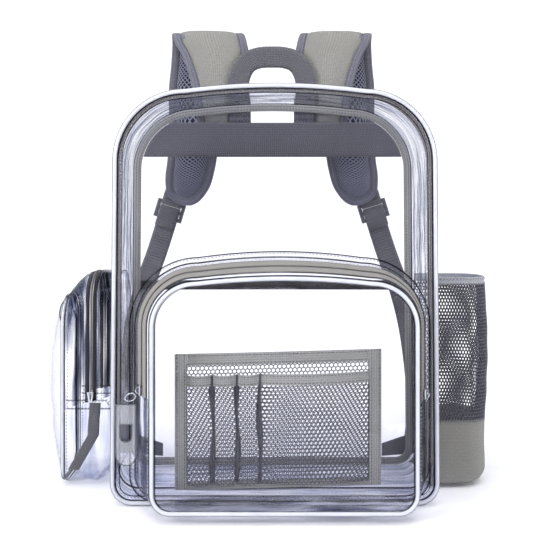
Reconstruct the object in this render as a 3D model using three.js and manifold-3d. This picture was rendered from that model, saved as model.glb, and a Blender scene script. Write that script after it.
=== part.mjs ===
// Clear backpack with a zipped front pocket, an organiser inside it, a zipped side pocket and a
// bottle pocket. Millimetres, +Z up, the front faces -Y, +X is the right as seen from the front.
// The origin is the middle of the underside.
import * as THREE from "three";
import Module from "manifold-3d";
import { mergeVertices } from "three/addons/utils/BufferGeometryUtils.js";

const wasm = await Module();
wasm.setup();

// Driving dimensions: walls and clearances
const GAP = 0.3;            // between pieces that touch
const LAY = 0.6;            // between a bowed film and what lies on it
const FILM = 1.2;           // clear film
const TAPE = 1.2;           // zip tape
const COIL = 3.2;           // width of a closed zip coil
const COIL_THICK = 2.4;
const WEBBING = 1.8;
const CLOTH = 1.4;
const NET = 1.2;

// Main body
const BODY = {
  width: 326, height: 425, depth: 135,
  topCorner: 72, footCorner: 22, crown: 6, flare: 3,
  swell: 4,                 // how far the side walls stand out half way back
  frontBow: 5, backBow: 4,  // how far the panels stand out in their middle
  piping: 2.6,              // radius
  binding: 8,               // width of the grey binding of the back seam
};
const ZIP = { flange: 11, tape: 16, endLeft: 84, endRight: 30, sliderLength: 12, sliderWidth: 9, sliderThick: 2.6 };

// Front pocket: its base lies on the front panel, its face stands in front of it
const POCKET = {
  baseWidth: 290, baseTop: 244, baseFoot: 10.5, baseCentre: 5, baseCorner: 50, baseCrown: 6, seam: 4,
  faceWidth: 255, faceTop: 229, faceFoot: 8, faceCentre: 8, faceCorner: 44, faceCrown: 5,
  footCorner: 20, stand: 45, bulge: 10, piping: 2.4,
  flange: 10, tape: 11, endLeft: 116, endRight: 112,
  tabWidth: 20, tabLength: 60, tabThick: 1.6, tabWindow: 11, tabWindowFrom: 20, ring: 5.5, wire: 0.9,
};

// Organiser inside the front pocket
const ORGANISER = {
  width: 206, height: 136, foot: 17, centre: 3, tilt: 1.5,
  sideBinding: 12, footBinding: 7, topBinding: 12, netDrop: 21, netBinding: 11, bindingThick: 1.4,
};
// Each slot of the organiser's net: where it starts and ends along the width, and its depth in mm
const SLOTS = [
  { from: 0.00, to: 0.14, deep: 7 },
  { from: 0.14, to: 0.275, deep: 8 },
  { from: 0.275, to: 0.40, deep: 7.5 },
  { from: 0.40, to: 1.00, deep: 9 },
];

// Side pockets, both on the side wall behind the zip
const SIDE = {
  width: 73, centre: 24, reach: 62, foot: 4, baseFoot: 18, top: 231, corner: 32, footCorner: 16,
  shoulder: 25, bulge: 20, piping: 2.2, seam: 4, tape: 7, endHeight: 92, stripWidth: 12,
};
const BOTTLE = {
  width: 73, centre: 24, reach: 70, corner: 26, foot: 5, base: 72, top: 226, rim: 9, rimThick: 2.4,
  tuck: 9,                  // how far the base draws in at the floor
};

// Shoulder straps, measured behind the back panel's face
const STRAP = {
  width: 62, spread: 98, crest: 88, drop: 119, stand: 52, thick: 9, edge: 4.4, binding: 11,
};
// Each section of a strap pad, from the seam at the top of the back, over the fold, to the tip:
// level is a share of crest above the bag's top or of drop below it, the others are shares of
// stand, spread and width
const PAD_SECTIONS = [
  { level: -0.44, back: 0.13, side: 0.65, wide: 0.77 },
  { level: -0.17, back: 0.15, side: 0.66, wide: 0.80 },
  { level: 0.06, back: 0.19, side: 0.67, wide: 0.90 },
  { level: 0.33, back: 0.25, side: 0.67, wide: 1.03 },
  { level: 0.66, back: 0.32, side: 0.69, wide: 1.28 },
  { level: 0.86, back: 0.39, side: 0.75, wide: 1.40 },
  { level: 0.97, back: 0.48, side: 0.78, wide: 1.41 },
  { level: 1.00, back: 0.59, side: 0.80, wide: 1.40 },
  { level: 0.97, back: 0.70, side: 0.81, wide: 1.38 },
  { level: 0.86, back: 0.79, side: 0.83, wide: 1.33 },
  { level: 0.60, back: 0.89, side: 0.88, wide: 1.24 },
  { level: 0.28, back: 0.96, side: 0.94, wide: 1.15 },
  { level: -0.21, back: 1.00, side: 0.98, wide: 1.03 },
  { level: -0.51, back: 1.00, side: 1.01, wide: 0.99 },
  { level: -0.67, back: 0.97, side: 1.04, wide: 0.97 },
  { level: -0.79, back: 0.95, side: 1.06, wide: 0.90 },
  { level: -0.88, back: 0.94, side: 1.08, wide: 0.77 },
  { level: -0.96, back: 0.94, side: 1.08, wide: 0.50 },
  { level: -1.00, back: 0.94, side: 1.07, wide: 0.18 },
];
const TIP_FROM = 15;        // the first section that belongs to the rounded tip

const LOCK = {
  width: 36, bar: 4, slot: 5.6, thick: 4, tilt: 17, out: 19, below: 2, behind: 6.8, tabTuck: 12,
};
const ADJUSTER = { width: 25, tail: 26, end: 26, endSide: 5 };
// Each bend of the adjuster webbing from the lock to the anchor: shares of the way down, of the
// way out to the anchor and of the lock's distance behind the bag
const ADJUSTER_BENDS = [
  { down: 0.14, out: 0.16, back: 0.97 },
  { down: 0.30, out: 0.40, back: 0.91 },
  { down: 0.46, out: 0.66, back: 0.80 },
  { down: 0.62, out: 0.87, back: 0.62 },
  { down: 0.78, out: 1.00, back: 0.36 },
  { down: 0.90, out: 1.02, back: 0.14 },
];
const ANCHOR = { width: 34, height: 32, foot: 10 };

const HANDLE = { width: 25, span: 76, rise: 70, low: 45, lean: 6, thick: 2 };
// Each turn of the handle from its left leg to the middle: shares of half the span and of the rise
// above the bag's top, and the turn of its width in degrees
const HANDLE_TURNS = [
  { side: 1.00, up: 0.10, turn: 0 },
  { side: 1.00, up: 0.40, turn: 0 },
  { side: 0.95, up: 0.58, turn: 22 },
  { side: 0.82, up: 0.71, turn: 48 },
  { side: 0.60, up: 0.79, turn: 72 },
  { side: 0.32, up: 0.82, turn: 85 },
  { side: 0.00, up: 0.82, turn: 90 },
];

// Bands across the back: how far the wide one's top edge lies below the bag's top, and how high
// the narrow one lies above its underside
const BAND = { below: 23, width: 40 };
const CROSS = { above: 206, width: 11 };

const HALF = BODY.depth / 2;
const radians = THREE.MathUtils.degToRad;
const mix = THREE.MathUtils.lerp;
const point = (x, y, z) => new THREE.Vector3(x, y, z);

// Materials
const finish = (color, roughness, metalness = 0, opacity = 1) => new THREE.MeshStandardMaterial({
  color, roughness, metalness, opacity, transparent: opacity < 1, side: THREE.DoubleSide,
});
const CLEAR = () => finish(0xe6eaf4, 0.08, 0, 0.3);
const PIPING = () => finish(0xdfe2e8, 0.25);
const GREY_CLOTH = () => finish(0x9b9c92, 0.9);
const GREY_WEBBING = () => finish(0x74757d, 0.85);
const BINDING = () => finish(0x7b7b88, 0.85);
const BLACK_WEBBING = () => finish(0x1c1a22, 0.85);
const AIR_MESH = () => finish(0x3f4154, 0.95);
const NETTING = () => finish(0x8f8f8c, 0.9);
const ZIP_TAPE = () => finish(0x8f8c88, 0.85);
const ZIP_BLACK = () => finish(0x1d1c20, 0.7);
const STEEL = () => finish(0xc9cbd0, 0.25, 1);
const PLASTIC = () => finish(0x2b2b31, 0.45);

// The group, and how a piece joins it
const backpack = new THREE.Group();

function piece(name, geometry, material) {
  const mesh = new THREE.Mesh(geometry, material);
  mesh.name = name;
  backpack.add(mesh);
  return mesh;
}

// A closed solid from corner points and triangles, turned to face out
function solid(corners, triangles) {
  let volume = 0;
  for (const [a, b, c] of triangles) {
    volume += corners[a].dot(corners[b].clone().cross(corners[c]));
  }
  const index = triangles.flatMap(([a, b, c]) => (volume > 0 ? [a, b, c] : [a, c, b]));
  const geometry = new THREE.BufferGeometry();
  geometry.setAttribute("position", new THREE.Float32BufferAttribute(corners.flatMap((p) => [p.x, p.y, p.z]), 3));
  geometry.setIndex(index);
  geometry.computeVertexNormals();
  return geometry;
}

// The two triangles of a four-sided face
const quad = (a, b, c, d) => [[a, b, c], [a, c, d]];

// A sheet of even thickness whose middle runs through a grid of points
function sheet(grid, thickness, closed = false) {
  const rows = grid.length;
  const columns = grid[0].length;
  const rowAt = (i) => (closed ? (i + rows) % rows : Math.min(Math.max(i, 0), rows - 1));
  const corners = [];
  for (const side of [0.5, -0.5]) {
    for (let i = 0; i < rows; i += 1) {
      for (let j = 0; j < columns; j += 1) {
        const along = grid[rowAt(i + 1)][j].clone().sub(grid[rowAt(i - 1)][j]);
        const across = grid[i][Math.min(j + 1, columns - 1)].clone().sub(grid[i][Math.max(j - 1, 0)]);
        const normal = along.cross(across).normalize();
        corners.push(grid[i][j].clone().addScaledVector(normal, side * thickness));
      }
    }
  }
  const under = rows * columns;
  const at = (i, j) => rowAt(i) * columns + j;
  const triangles = [];
  const spans = closed ? rows : rows - 1;
  for (let i = 0; i < spans; i += 1) {
    for (let j = 0; j < columns - 1; j += 1) {
      triangles.push(...quad(at(i, j), at(i + 1, j), at(i + 1, j + 1), at(i, j + 1)));
      triangles.push(...quad(under + at(i, j), under + at(i, j + 1), under + at(i + 1, j + 1), under + at(i + 1, j)));
    }
    const last = columns - 1;
    triangles.push(...quad(at(i, 0), under + at(i, 0), under + at(i + 1, 0), at(i + 1, 0)));
    triangles.push(...quad(at(i, last), at(i + 1, last), under + at(i + 1, last), under + at(i, last)));
  }
  if (!closed) {
    const end = rows - 1;
    for (let j = 0; j < columns - 1; j += 1) {
      triangles.push(...quad(at(0, j), at(0, j + 1), under + at(0, j + 1), under + at(0, j)));
      triangles.push(...quad(at(end, j), under + at(end, j), under + at(end, j + 1), at(end, j + 1)));
    }
  }
  return solid(corners, triangles);
}

// A solid through sections that all have the same number of corners
function loft(sections, closed = false) {
  const count = sections[0].length;
  const corners = sections.flat();
  const triangles = [];
  const spans = closed ? sections.length : sections.length - 1;
  for (let i = 0; i < spans; i += 1) {
    const here = i * count;
    const next = ((i + 1) % sections.length) * count;
    for (let j = 0; j < count; j += 1) {
      const beside = (j + 1) % count;
      triangles.push(...quad(here + j, next + j, next + beside, here + beside));
    }
  }
  if (!closed) {
    const end = (sections.length - 1) * count;
    for (let j = 1; j < count - 1; j += 1) {
      triangles.push([0, j, j + 1], [end, end + j + 1, end + j]);
    }
  }
  return solid(corners, triangles);
}

// A flat shape given thickness, with windows of other shapes cut through it
function plate(shape, windows, thickness) {
  const toSolid = (outlineShape, from, depth) => {
    const geometry = new THREE.ExtrudeGeometry(outlineShape, { depth, bevelEnabled: false, curveSegments: 6 });
    geometry.deleteAttribute("normal");
    geometry.deleteAttribute("uv");
    geometry.translate(0, 0, from);
    const merged = mergeVertices(geometry, 1e-4);
    return new wasm.Manifold(new wasm.Mesh({
      numProp: 3,
      vertProperties: merged.attributes.position.array,
      triVerts: new Uint32Array(merged.index.array),
    }));
  };
  let body = toSolid(shape, 0, thickness);
  for (const window of windows) {
    body = body.subtract(toSolid(window, -thickness, 3 * thickness));
  }
  const mesh = body.getMesh();
  const geometry = new THREE.BufferGeometry();
  geometry.setAttribute("position", new THREE.BufferAttribute(new Float32Array(mesh.vertProperties), 3));
  geometry.setIndex(new THREE.BufferAttribute(new Uint32Array(mesh.triVerts), 1));
  geometry.computeVertexNormals();
  return geometry;
}

// A rectangle from two opposite corners
function rectangle(left, low, right, high) {
  const shape = new THREE.Shape();
  shape.moveTo(left, low);
  shape.lineTo(right, low);
  shape.lineTo(right, high);
  shape.lineTo(left, high);
  shape.closePath();
  return shape;
}

// A panel inside a rim of flat points, in rings to its middle; place puts a flat point in space
function panel(rim, rings, place) {
  const middle = { a: 0, z: 0 };
  for (const p of rim) {
    middle.a += p.a / rim.length;
    middle.z += p.z / rim.length;
  }
  const corners = [];
  for (const side of [-1, 1]) {
    for (let r = rings; r > 0; r -= 1) {
      const share = r / rings;
      for (const p of rim) {
        corners.push(place(mix(middle.a, p.a, share), mix(middle.z, p.z, share), side));
      }
    }
    corners.push(place(middle.a, middle.z, side));
  }
  const count = rim.length;
  const under = rings * count + 1;
  const triangles = [];
  for (let j = 0; j < count; j += 1) {
    const beside = (j + 1) % count;
    for (let r = 0; r < rings - 1; r += 1) {
      const here = r * count;
      const next = here + count;
      triangles.push(...quad(here + j, here + beside, next + beside, next + j));
      triangles.push(...quad(under + here + j, under + next + j, under + next + beside, under + here + beside));
    }
    const inner = (rings - 1) * count;
    triangles.push([inner + j, inner + beside, under - 1]);
    triangles.push([under + inner + beside, under + inner + j, under + under - 1]);
    triangles.push(...quad(j, under + j, under + beside, beside));
  }
  return solid(corners, triangles);
}

// Outlines: a flat foot, round corners and a crowned top. The station runs from 0 to 10 round
// it, from the middle of the foot up the right side, over the top and down the left side.
const STRETCH_STEPS = [1, 4, 3, 6, 3, 3, 6, 3, 4, 1];

function outline(shape, station) {
  const around = ((station % 10) + 10) % 10;
  const left = around > 5;
  const t = left ? 10 - around : around;
  const stretch = Math.min(Math.floor(t), 4);
  const share = t - stretch;
  const { half, foot, top, footCorner, topCorner, crown } = shape;
  let a = half;
  let z = foot;
  if (stretch === 0) {
    a = mix(0, half - footCorner, share);
  } else if (stretch === 1) {
    a = half - footCorner + footCorner * Math.sin((share * Math.PI) / 2);
    z = foot + footCorner * (1 - Math.cos((share * Math.PI) / 2));
  } else if (stretch === 2) {
    z = mix(foot + footCorner, top - topCorner, share);
  } else if (stretch === 3) {
    a = half - topCorner * (1 - Math.cos((share * Math.PI) / 2));
    z = top - topCorner * (1 - Math.sin((share * Math.PI) / 2));
  } else {
    a = mix(half - topCorner, 0, share);
    z = top + crown * (1 - (1 - share) ** 2);
  }
  a *= 1 + (shape.flare / half) * (1 - (z - foot) / (top - foot));
  return { a: shape.centre + (left ? -a : a), z };
}

// The stations from one to another, with every corner and bend between them
function stations(from, to) {
  const list = [from];
  for (let stretch = Math.floor(from); stretch <= Math.floor(to); stretch += 1) {
    const steps = STRETCH_STEPS[((stretch % 10) + 10) % 10];
    for (let i = 0; i < steps; i += 1) {
      const station = stretch + i / steps;
      if (station > from + 0.04 && station < to - 0.04) {
        list.push(station);
      }
    }
  }
  list.push(to);
  return list;
}
const allRound = stations(0, 10).slice(0, -1);

// The station at a height on the right side; the left side's is ten less it
function stationAt(shape, height) {
  const straightFoot = shape.foot + shape.footCorner;
  const straightTop = shape.top - shape.topCorner;
  if (height < straightFoot) {
    return 1 + Math.acos(1 - (height - shape.foot) / shape.footCorner) / (Math.PI / 2);
  }
  return 2 + (height - straightFoot) / (straightTop - straightFoot);
}

// Half the width of an outline at a height
function halfAt(shape, height) {
  let half = shape.half;
  const overTop = height - (shape.top - shape.topCorner);
  const underFoot = shape.foot + shape.footCorner - height;
  if (overTop > 0) {
    half += Math.sqrt(Math.max(shape.topCorner ** 2 - overTop ** 2, 0)) - shape.topCorner;
  }
  if (underFoot > 0) {
    half += Math.sqrt(Math.max(shape.footCorner ** 2 - underFoot ** 2, 0)) - shape.footCorner;
  }
  return half * (1 + (shape.flare / shape.half) * (1 - (height - shape.foot) / (shape.top - shape.foot)));
}

// The body's outline, drawn in by an inset, at a depth behind its front
function bodyShape(inset, depth) {
  const share = Math.min(Math.max(depth / BODY.depth, 0), 1);
  const swell = BODY.swell * 4 * share * (1 - share);
  return {
    half: BODY.width / 2 - inset + swell,
    foot: inset,
    top: BODY.height - BODY.crown - inset + swell / 2,
    footCorner: BODY.footCorner - inset,
    topCorner: BODY.topCorner - inset,
    crown: BODY.crown,
    flare: BODY.flare,
    centre: 0,
  };
}

// How far a bowed panel stands out at a point of it
function bow(amount, a, z) {
  const across = Math.max(1 - (a / (BODY.width / 2)) ** 2, 0);
  const along = Math.max(1 - ((z - BODY.height / 2) / (BODY.height / 2)) ** 2, 0);
  return amount * across * along;
}
const frontAt = (a, z) => -HALF + BODY.piping - bow(BODY.frontBow, a, z);
const backAt = (a, z) => HALF - FILM / 2 + bow(BODY.backBow, a, z);
const behindBack = (a, z, distance) => backAt(a, z) + FILM / 2 + distance;

// A strip of the body's wall between two depths and two stations
function wallStrip(depths, from, to, thickness) {
  return sheet(
    stations(from, to).map((station) => depths.map((depth) => {
      const { a, z } = outline(bodyShape(FILM / 2, depth), station);
      return point(a, depth - HALF, z);
    })),
    thickness,
  );
}

// A round piping along an outline, in the plane that place gives
function piping(shape, radius, place, sides = 6) {
  const ring = allRound.map((station) => {
    const here = outline(shape, station);
    const before = outline(shape, station - 0.02);
    const after = outline(shape, station + 0.02);
    const length = Math.hypot(after.a - before.a, after.z - before.z);
    const outA = (after.z - before.z) / length;
    const outZ = -(after.a - before.a) / length;
    return Array.from({ length: sides }, (_, k) => {
      const angle = (k / sides) * 2 * Math.PI;
      const out = radius * Math.cos(angle);
      return place(here.a + outA * out, here.z + outZ * out, radius * Math.sin(angle));
    });
  });
  return loft(ring, true);
}

// Main body
function mainBody() {
  const radius = BODY.piping;
  piece("front_piping", piping(bodyShape(radius, 0), radius, (a, z, up) => point(a, -HALF + radius + up, z)), PIPING());
  const frontRim = allRound.map((station) => outline(bodyShape(2 * radius + GAP, 0), station));
  piece("front_panel", panel(frontRim, 3, (a, z, side) => point(a, frontAt(a, z) + (side * FILM) / 2, z)), CLEAR());
  const backRim = allRound.map((station) => outline(bodyShape(0, BODY.depth), station));
  piece("back_panel", panel(backRim, 3, (a, z, side) => point(a, backAt(a, z) + (side * FILM) / 2, z)), CLEAR());

  const wallFront = 2 * radius + GAP;
  const flangeEnd = wallFront + ZIP.flange;
  const tapeEnd = flangeEnd + GAP + ZIP.tape;
  const coilEnd = tapeEnd + GAP + COIL;
  const rearTapeEnd = coilEnd + GAP + ZIP.tape;
  const wallBack = BODY.depth - FILM - GAP;
  const shape = bodyShape(0, 0);
  const from = stationAt(shape, ZIP.endRight);
  const to = 10 - stationAt(shape, ZIP.endLeft);
  const slit = GAP / (BODY.height - BODY.topCorner - BODY.footCorner);
  piece("zip_flange", wallStrip([wallFront, flangeEnd], from, to, FILM), CLEAR());
  piece("main_zip_tape_front", wallStrip([flangeEnd + GAP, tapeEnd], from, to, TAPE), ZIP_TAPE());
  piece("main_zip_coil", wallStrip([tapeEnd + GAP, coilEnd], from, to, COIL_THICK), ZIP_BLACK());
  piece("main_zip_tape_rear", wallStrip([coilEnd + GAP, rearTapeEnd], from, to, TAPE), ZIP_TAPE());
  piece("front_foot_gusset", wallStrip([wallFront, rearTapeEnd], to - 10 + slit, from - slit, FILM), CLEAR());

  const depths = [0, 1 / 3, 2 / 3, 1].map((share) => mix(rearTapeEnd + GAP, wallBack, share));
  const ring = allRound.map((station) => depths.map((depth) => {
    const { a, z } = outline(bodyShape(FILM / 2, depth), station);
    return point(a, depth - HALF, z);
  }));
  piece("side_gusset", sheet(ring, FILM, true), CLEAR());

  const outer = bodyShape(FILM + GAP, BODY.depth);
  const inner = bodyShape(FILM + GAP + BODY.binding, BODY.depth);
  const bindingRing = allRound.map((station) => [outer, inner].map((edge) => {
    const { a, z } = outline(edge, station);
    return point(a, backAt(a, z) - FILM / 2 - GAP - CLOTH / 2, z);
  }));
  piece("back_binding", sheet(bindingRing, CLOTH, true), BINDING());

  // The slider rides on the coil at the zip's left end
  const coilMiddle = (tapeEnd + GAP + coilEnd) / 2;
  const out = halfAt(bodyShape(0, coilMiddle), ZIP.endLeft + ZIP.sliderLength) + COIL_THICK / 2 - FILM / 2 + GAP;
  const slider = new THREE.Shape();
  slider.absellipse(0, 0, ZIP.sliderWidth / 2, ZIP.sliderLength / 2, 0, 2 * Math.PI);
  const sliderMesh = piece(
    "main_slider",
    new THREE.ExtrudeGeometry(slider, { depth: ZIP.sliderThick, bevelEnabled: false, curveSegments: 5 }),
    STEEL(),
  );
  sliderMesh.rotation.set(Math.PI / 2, 0, -Math.PI / 2, "ZXY");
  sliderMesh.position.set(-out, coilMiddle - HALF, ZIP.endLeft + ZIP.sliderLength);
}

// A band of webbing across the inside of the back, ending at the binding
function backBand(name, low, width, material) {
  const levels = [0, 0.25, 0.5, 0.75, 1].map((share) => low + share * width);
  const edge = bodyShape(FILM + GAP + BODY.binding + LAY, BODY.depth);
  const grid = Array.from({ length: 13 }, (_, i) => levels.map((z) => {
    const a = mix(-1, 1, i / 12) * halfAt(edge, z);
    return point(a, backAt(a, z) - FILM / 2 - LAY - WEBBING / 2, z);
  }));
  piece(name, sheet(grid, WEBBING), material);
}

// Front pocket
function pocketShape(out, inset = 0) {
  return {
    half: mix(POCKET.baseWidth, POCKET.faceWidth, out) / 2 - inset,
    foot: mix(POCKET.baseFoot, POCKET.faceFoot, out) + inset,
    top: mix(POCKET.baseTop, POCKET.faceTop, out) - inset,
    footCorner: POCKET.footCorner - inset,
    topCorner: mix(POCKET.baseCorner, POCKET.faceCorner, out) - inset,
    crown: mix(POCKET.baseCrown, POCKET.faceCrown, out),
    flare: 0,
    centre: mix(POCKET.baseCentre, POCKET.faceCentre, out),
  };
}
const pocketBaseAt = (a, z) => frontAt(a, z) - FILM - LAY;

// A point of the pocket's wall; out runs from 0 on the panel to 1 at the face
function pocketPoint(station, out) {
  const { a, z } = outline(pocketShape(out), station);
  return point(a, mix(pocketBaseAt(a, z), -HALF - POCKET.stand, out), z);
}

// The seam allowance of the wall, turned out flat on the panel
function pocketSeam(station) {
  const { a, z } = outline(pocketShape(0, -POCKET.seam), station);
  return point(a, pocketBaseAt(a, z), z);
}

function pocketStrip(outs, from, to, thickness, withSeam = false) {
  return sheet(
    stations(from, to).map((station) => [
      ...(withSeam ? [pocketSeam(station)] : []),
      ...outs.map((out) => pocketPoint(station, out)),
    ]),
    thickness,
  );
}

function frontPocket() {
  const radius = POCKET.piping;
  const plane = -HALF - POCKET.stand - radius;
  const rim = pocketShape(1, radius);
  piece("pocket_piping", piping(rim, radius, (a, z, up) => point(a, plane + up, z)), PIPING());
  const face = pocketShape(1, 2 * radius + GAP);
  const middle = (face.foot + face.top) / 2;
  const tall = (face.top - face.foot) / 2;
  piece("pocket_face", panel(allRound.map((station) => outline(face, station)), 4, (a, z, side) => {
    const across = Math.max(1 - ((a - face.centre) / face.half) ** 2, 0);
    const along = Math.max(1 - ((z - middle) / tall) ** 2, 0);
    const rise = POCKET.bulge * Math.sqrt(across * along) * (across * along) ** 0.25;
    return point(a, plane - rise + (side * FILM) / 2, z);
  }), CLEAR());

  const share = (length) => length / POCKET.stand;
  const gap = share(GAP);
  const flangeEnd = share(POCKET.flange);
  const rearEnd = flangeEnd + gap + share(POCKET.tape);
  const coilEnd = rearEnd + gap + share(COIL);
  const frontEnd = coilEnd + gap + share(POCKET.tape);
  const wallEnd = 1 - gap;
  const shape = pocketShape(0.5);
  const from = stationAt(shape, POCKET.endRight);
  const to = 10 - stationAt(shape, POCKET.endLeft);
  const slit = GAP / (shape.top - shape.topCorner - shape.footCorner);
  piece("pocket_flange", pocketStrip([0, flangeEnd], from, to, FILM, true), CLEAR());
  piece("pocket_zip_tape_rear", pocketStrip([flangeEnd + gap, rearEnd], from, to, TAPE), ZIP_TAPE());
  piece("pocket_zip_coil", pocketStrip([rearEnd + gap, coilEnd], from, to, COIL_THICK), ZIP_BLACK());
  piece("pocket_zip_tape_front", pocketStrip([coilEnd + gap, frontEnd], from, to, TAPE), ZIP_TAPE());
  piece("pocket_lip", pocketStrip([frontEnd + gap, wallEnd], from, to, FILM), CLEAR());
  piece("pocket_gusset", pocketStrip([0, 0.5, wallEnd], to - 10 + slit, from - slit, FILM, true), CLEAR());

  // Sliders at both ends of the zip, each with its clear tab hanging from it
  const coilMiddle = (rearEnd + gap + coilEnd) / 2;
  const half = POCKET.tabWidth / 2;
  const tab = new THREE.Shape();
  tab.moveTo(-half, 0);
  tab.lineTo(half, 0);
  tab.lineTo(half, -POCKET.tabLength + half);
  tab.absarc(0, -POCKET.tabLength + half, half, 0, -Math.PI, true);
  tab.closePath();
  const windowHalf = POCKET.tabWindow / 2;
  const window = new THREE.Shape();
  window.moveTo(-windowHalf, -POCKET.tabWindowFrom);
  window.lineTo(windowHalf, -POCKET.tabWindowFrom);
  window.lineTo(windowHalf, -POCKET.tabWindowFrom - POCKET.tabWindow);
  window.absarc(0, -POCKET.tabWindowFrom - POCKET.tabWindow, windowHalf, 0, -Math.PI, true);
  window.closePath();
  const tabGeometry = () => plate(tab, [window], POCKET.tabThick);
  for (const side of ["left", "right"]) {
    const left = side === "left";
    const station = left ? to : from;
    const height = left ? POCKET.endLeft : POCKET.endRight;
    const seat = pocketPoint(station, coilMiddle);
    const ahead = pocketPoint(station, coilMiddle + 0.1);
    const lean = Math.atan2(ahead.x - seat.x, seat.y - ahead.y);
    const outward = left ? -1 : 1;
    const stand = COIL_THICK / 2 + GAP + ZIP.sliderThick / 2;
    const slider = piece(
      `pocket_slider_${side}`,
      new THREE.BoxGeometry(ZIP.sliderThick, ZIP.sliderWidth, ZIP.sliderLength),
      STEEL(),
    );
    slider.rotation.z = lean;
    slider.position.set(
      seat.x + outward * stand * Math.cos(lean),
      seat.y + outward * stand * Math.sin(lean),
      height + ZIP.sliderLength / 2,
    );
    const pull = piece(`pocket_tab_${side}`, tabGeometry(), CLEAR());
    const clearOf = stand + ZIP.sliderThick / 2 + GAP;
    const ringX = seat.x + outward * clearOf - ZIP.sliderThick / 2 - POCKET.ring;
    const ringFoot = height - POCKET.ring - POCKET.wire;
    if (left) {
      // The left tab hangs off a ring and turns its face to the front
      const ring = piece("pocket_ring_left", new THREE.TorusGeometry(POCKET.ring, POCKET.wire, 6, 14), STEEL());
      ring.rotation.x = Math.PI / 2;
      ring.position.set(ringX, seat.y, height - POCKET.wire - GAP);
      pull.rotation.x = Math.PI / 2;
      const pullX = ringX + POCKET.ring - POCKET.tabWidth / 2;
      pull.position.set(pullX, seat.y + POCKET.tabThick / 2, ringFoot - POCKET.wire - 2 * GAP);
    } else {
      // The right tab lies along the pocket's leaning wall
      const away = point(Math.cos(lean), Math.sin(lean), 0);
      const beside = point(-away.y, away.x, 0);
      pull.quaternion.setFromRotationMatrix(new THREE.Matrix4().makeBasis(beside, point(0, 0, 1), away));
      pull.position.set(seat.x, seat.y, height - GAP).addScaledVector(away, outward * clearOf);
    }
  }
}

// Organiser: a cloth board with a net pocket and pen slots, bound all round
function organiser() {
  const { width, height, foot, centre, tilt, bindingThick } = ORGANISER;
  const slope = Math.tan(radians(tilt));
  const boardAt = (across, up, stand) => {
    const a = centre + across - width / 2;
    const z = foot + up + across * slope;
    return point(a, pocketBaseAt(a, z) - stand, z);
  };
  const backStand = 0;
  const netStand = NET + GAP;
  const inside = width - 2 * ORGANISER.sideBinding;
  const strip = (name, acrosses, ups, stand, thickness, material) => {
    const grid = acrosses.map((across) => ups.map((up) => boardAt(across, up, stand(across))));
    piece(name, sheet(grid, thickness), material);
  };
  const even = (from, to, steps) => Array.from({ length: steps + 1 }, (_, i) => mix(from, to, i / steps));
  const first = ORGANISER.sideBinding + GAP;
  const last = width - ORGANISER.sideBinding - GAP;
  const clothTop = height - ORGANISER.topBinding - GAP;
  const netTop = height - ORGANISER.netDrop;
  const low = ORGANISER.footBinding + GAP;
  strip("organiser_back", even(first, last, 8), even(low, clothTop, 3), () => backStand, CLOTH, GREY_CLOTH());

  // The net stands off the board in one arch for each slot
  const bulge = (across) => {
    const share = (across - first) / (last - first);
    const slot = SLOTS.find(({ from, to }) => share >= from && share <= to) || SLOTS[SLOTS.length - 1];
    const local = (share - slot.from) / (slot.to - slot.from);
    return slot.deep * Math.sin(Math.PI * Math.min(Math.max(local, 0), 1)) ** 0.7;
  };
  const netAcross = SLOTS.flatMap(({ from, to }) => {
    const steps = to - from > 0.3 ? 8 : 4;
    return even(mix(first, last, from), mix(first, last, to), steps).slice(0, -1);
  });
  netAcross.push(last);
  const lean = (across) => backStand + netStand + CLOTH / 2 + bulge(across);
  strip("organiser_net", netAcross, even(low, netTop - ORGANISER.netBinding - GAP, 3), lean, NET, NETTING());
  strip("organiser_net_binding", netAcross, even(netTop - ORGANISER.netBinding, netTop, 1), lean, bindingThick, BINDING());
  const flat = () => backStand;
  strip("organiser_top_binding", even(first, last, 6), even(clothTop + GAP, height, 1), flat, bindingThick, BINDING());
  const raised = () => netStand / 2;
  const thick = CLOTH + netStand;
  const sides = { left: [0, ORGANISER.sideBinding], right: [inside + ORGANISER.sideBinding, width] };
  for (const [side, acrosses] of Object.entries(sides)) {
    strip(`organiser_side_binding_${side}`, acrosses, even(0, height, 3), raised, thick, BINDING());
  }
  strip("organiser_foot_binding", even(first, last, 6), [0, ORGANISER.footBinding], raised, thick, BINDING());
}

// The body's side wall, and a pocket's outline that lies on it in depth and height
const wallAt = (y, z) => halfAt(bodyShape(0, y + HALF), z);

function sideShape(out, inset = 0) {
  const drop = SIDE.shoulder * Math.max((out - 0.45) / 0.55, 0) ** 2;
  return {
    half: SIDE.width / 2 - inset,
    foot: mix(SIDE.baseFoot, SIDE.foot, Math.min(2 * out, 1)) + inset,
    top: SIDE.top - drop - inset,
    footCorner: SIDE.footCorner - inset,
    topCorner: SIDE.corner - inset,
    crown: 0,
    flare: 0,
    centre: SIDE.centre,
  };
}

// A point of the zipped side pocket; out runs from 0 on the body's wall to 1 at its face
function sidePoint(station, out, inset = 0) {
  const { a, z } = outline(sideShape(out, inset), station);
  return point(-mix(wallAt(a, z) + LAY + FILM / 2, BODY.width / 2 + SIDE.reach, out), a, z);
}

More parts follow.
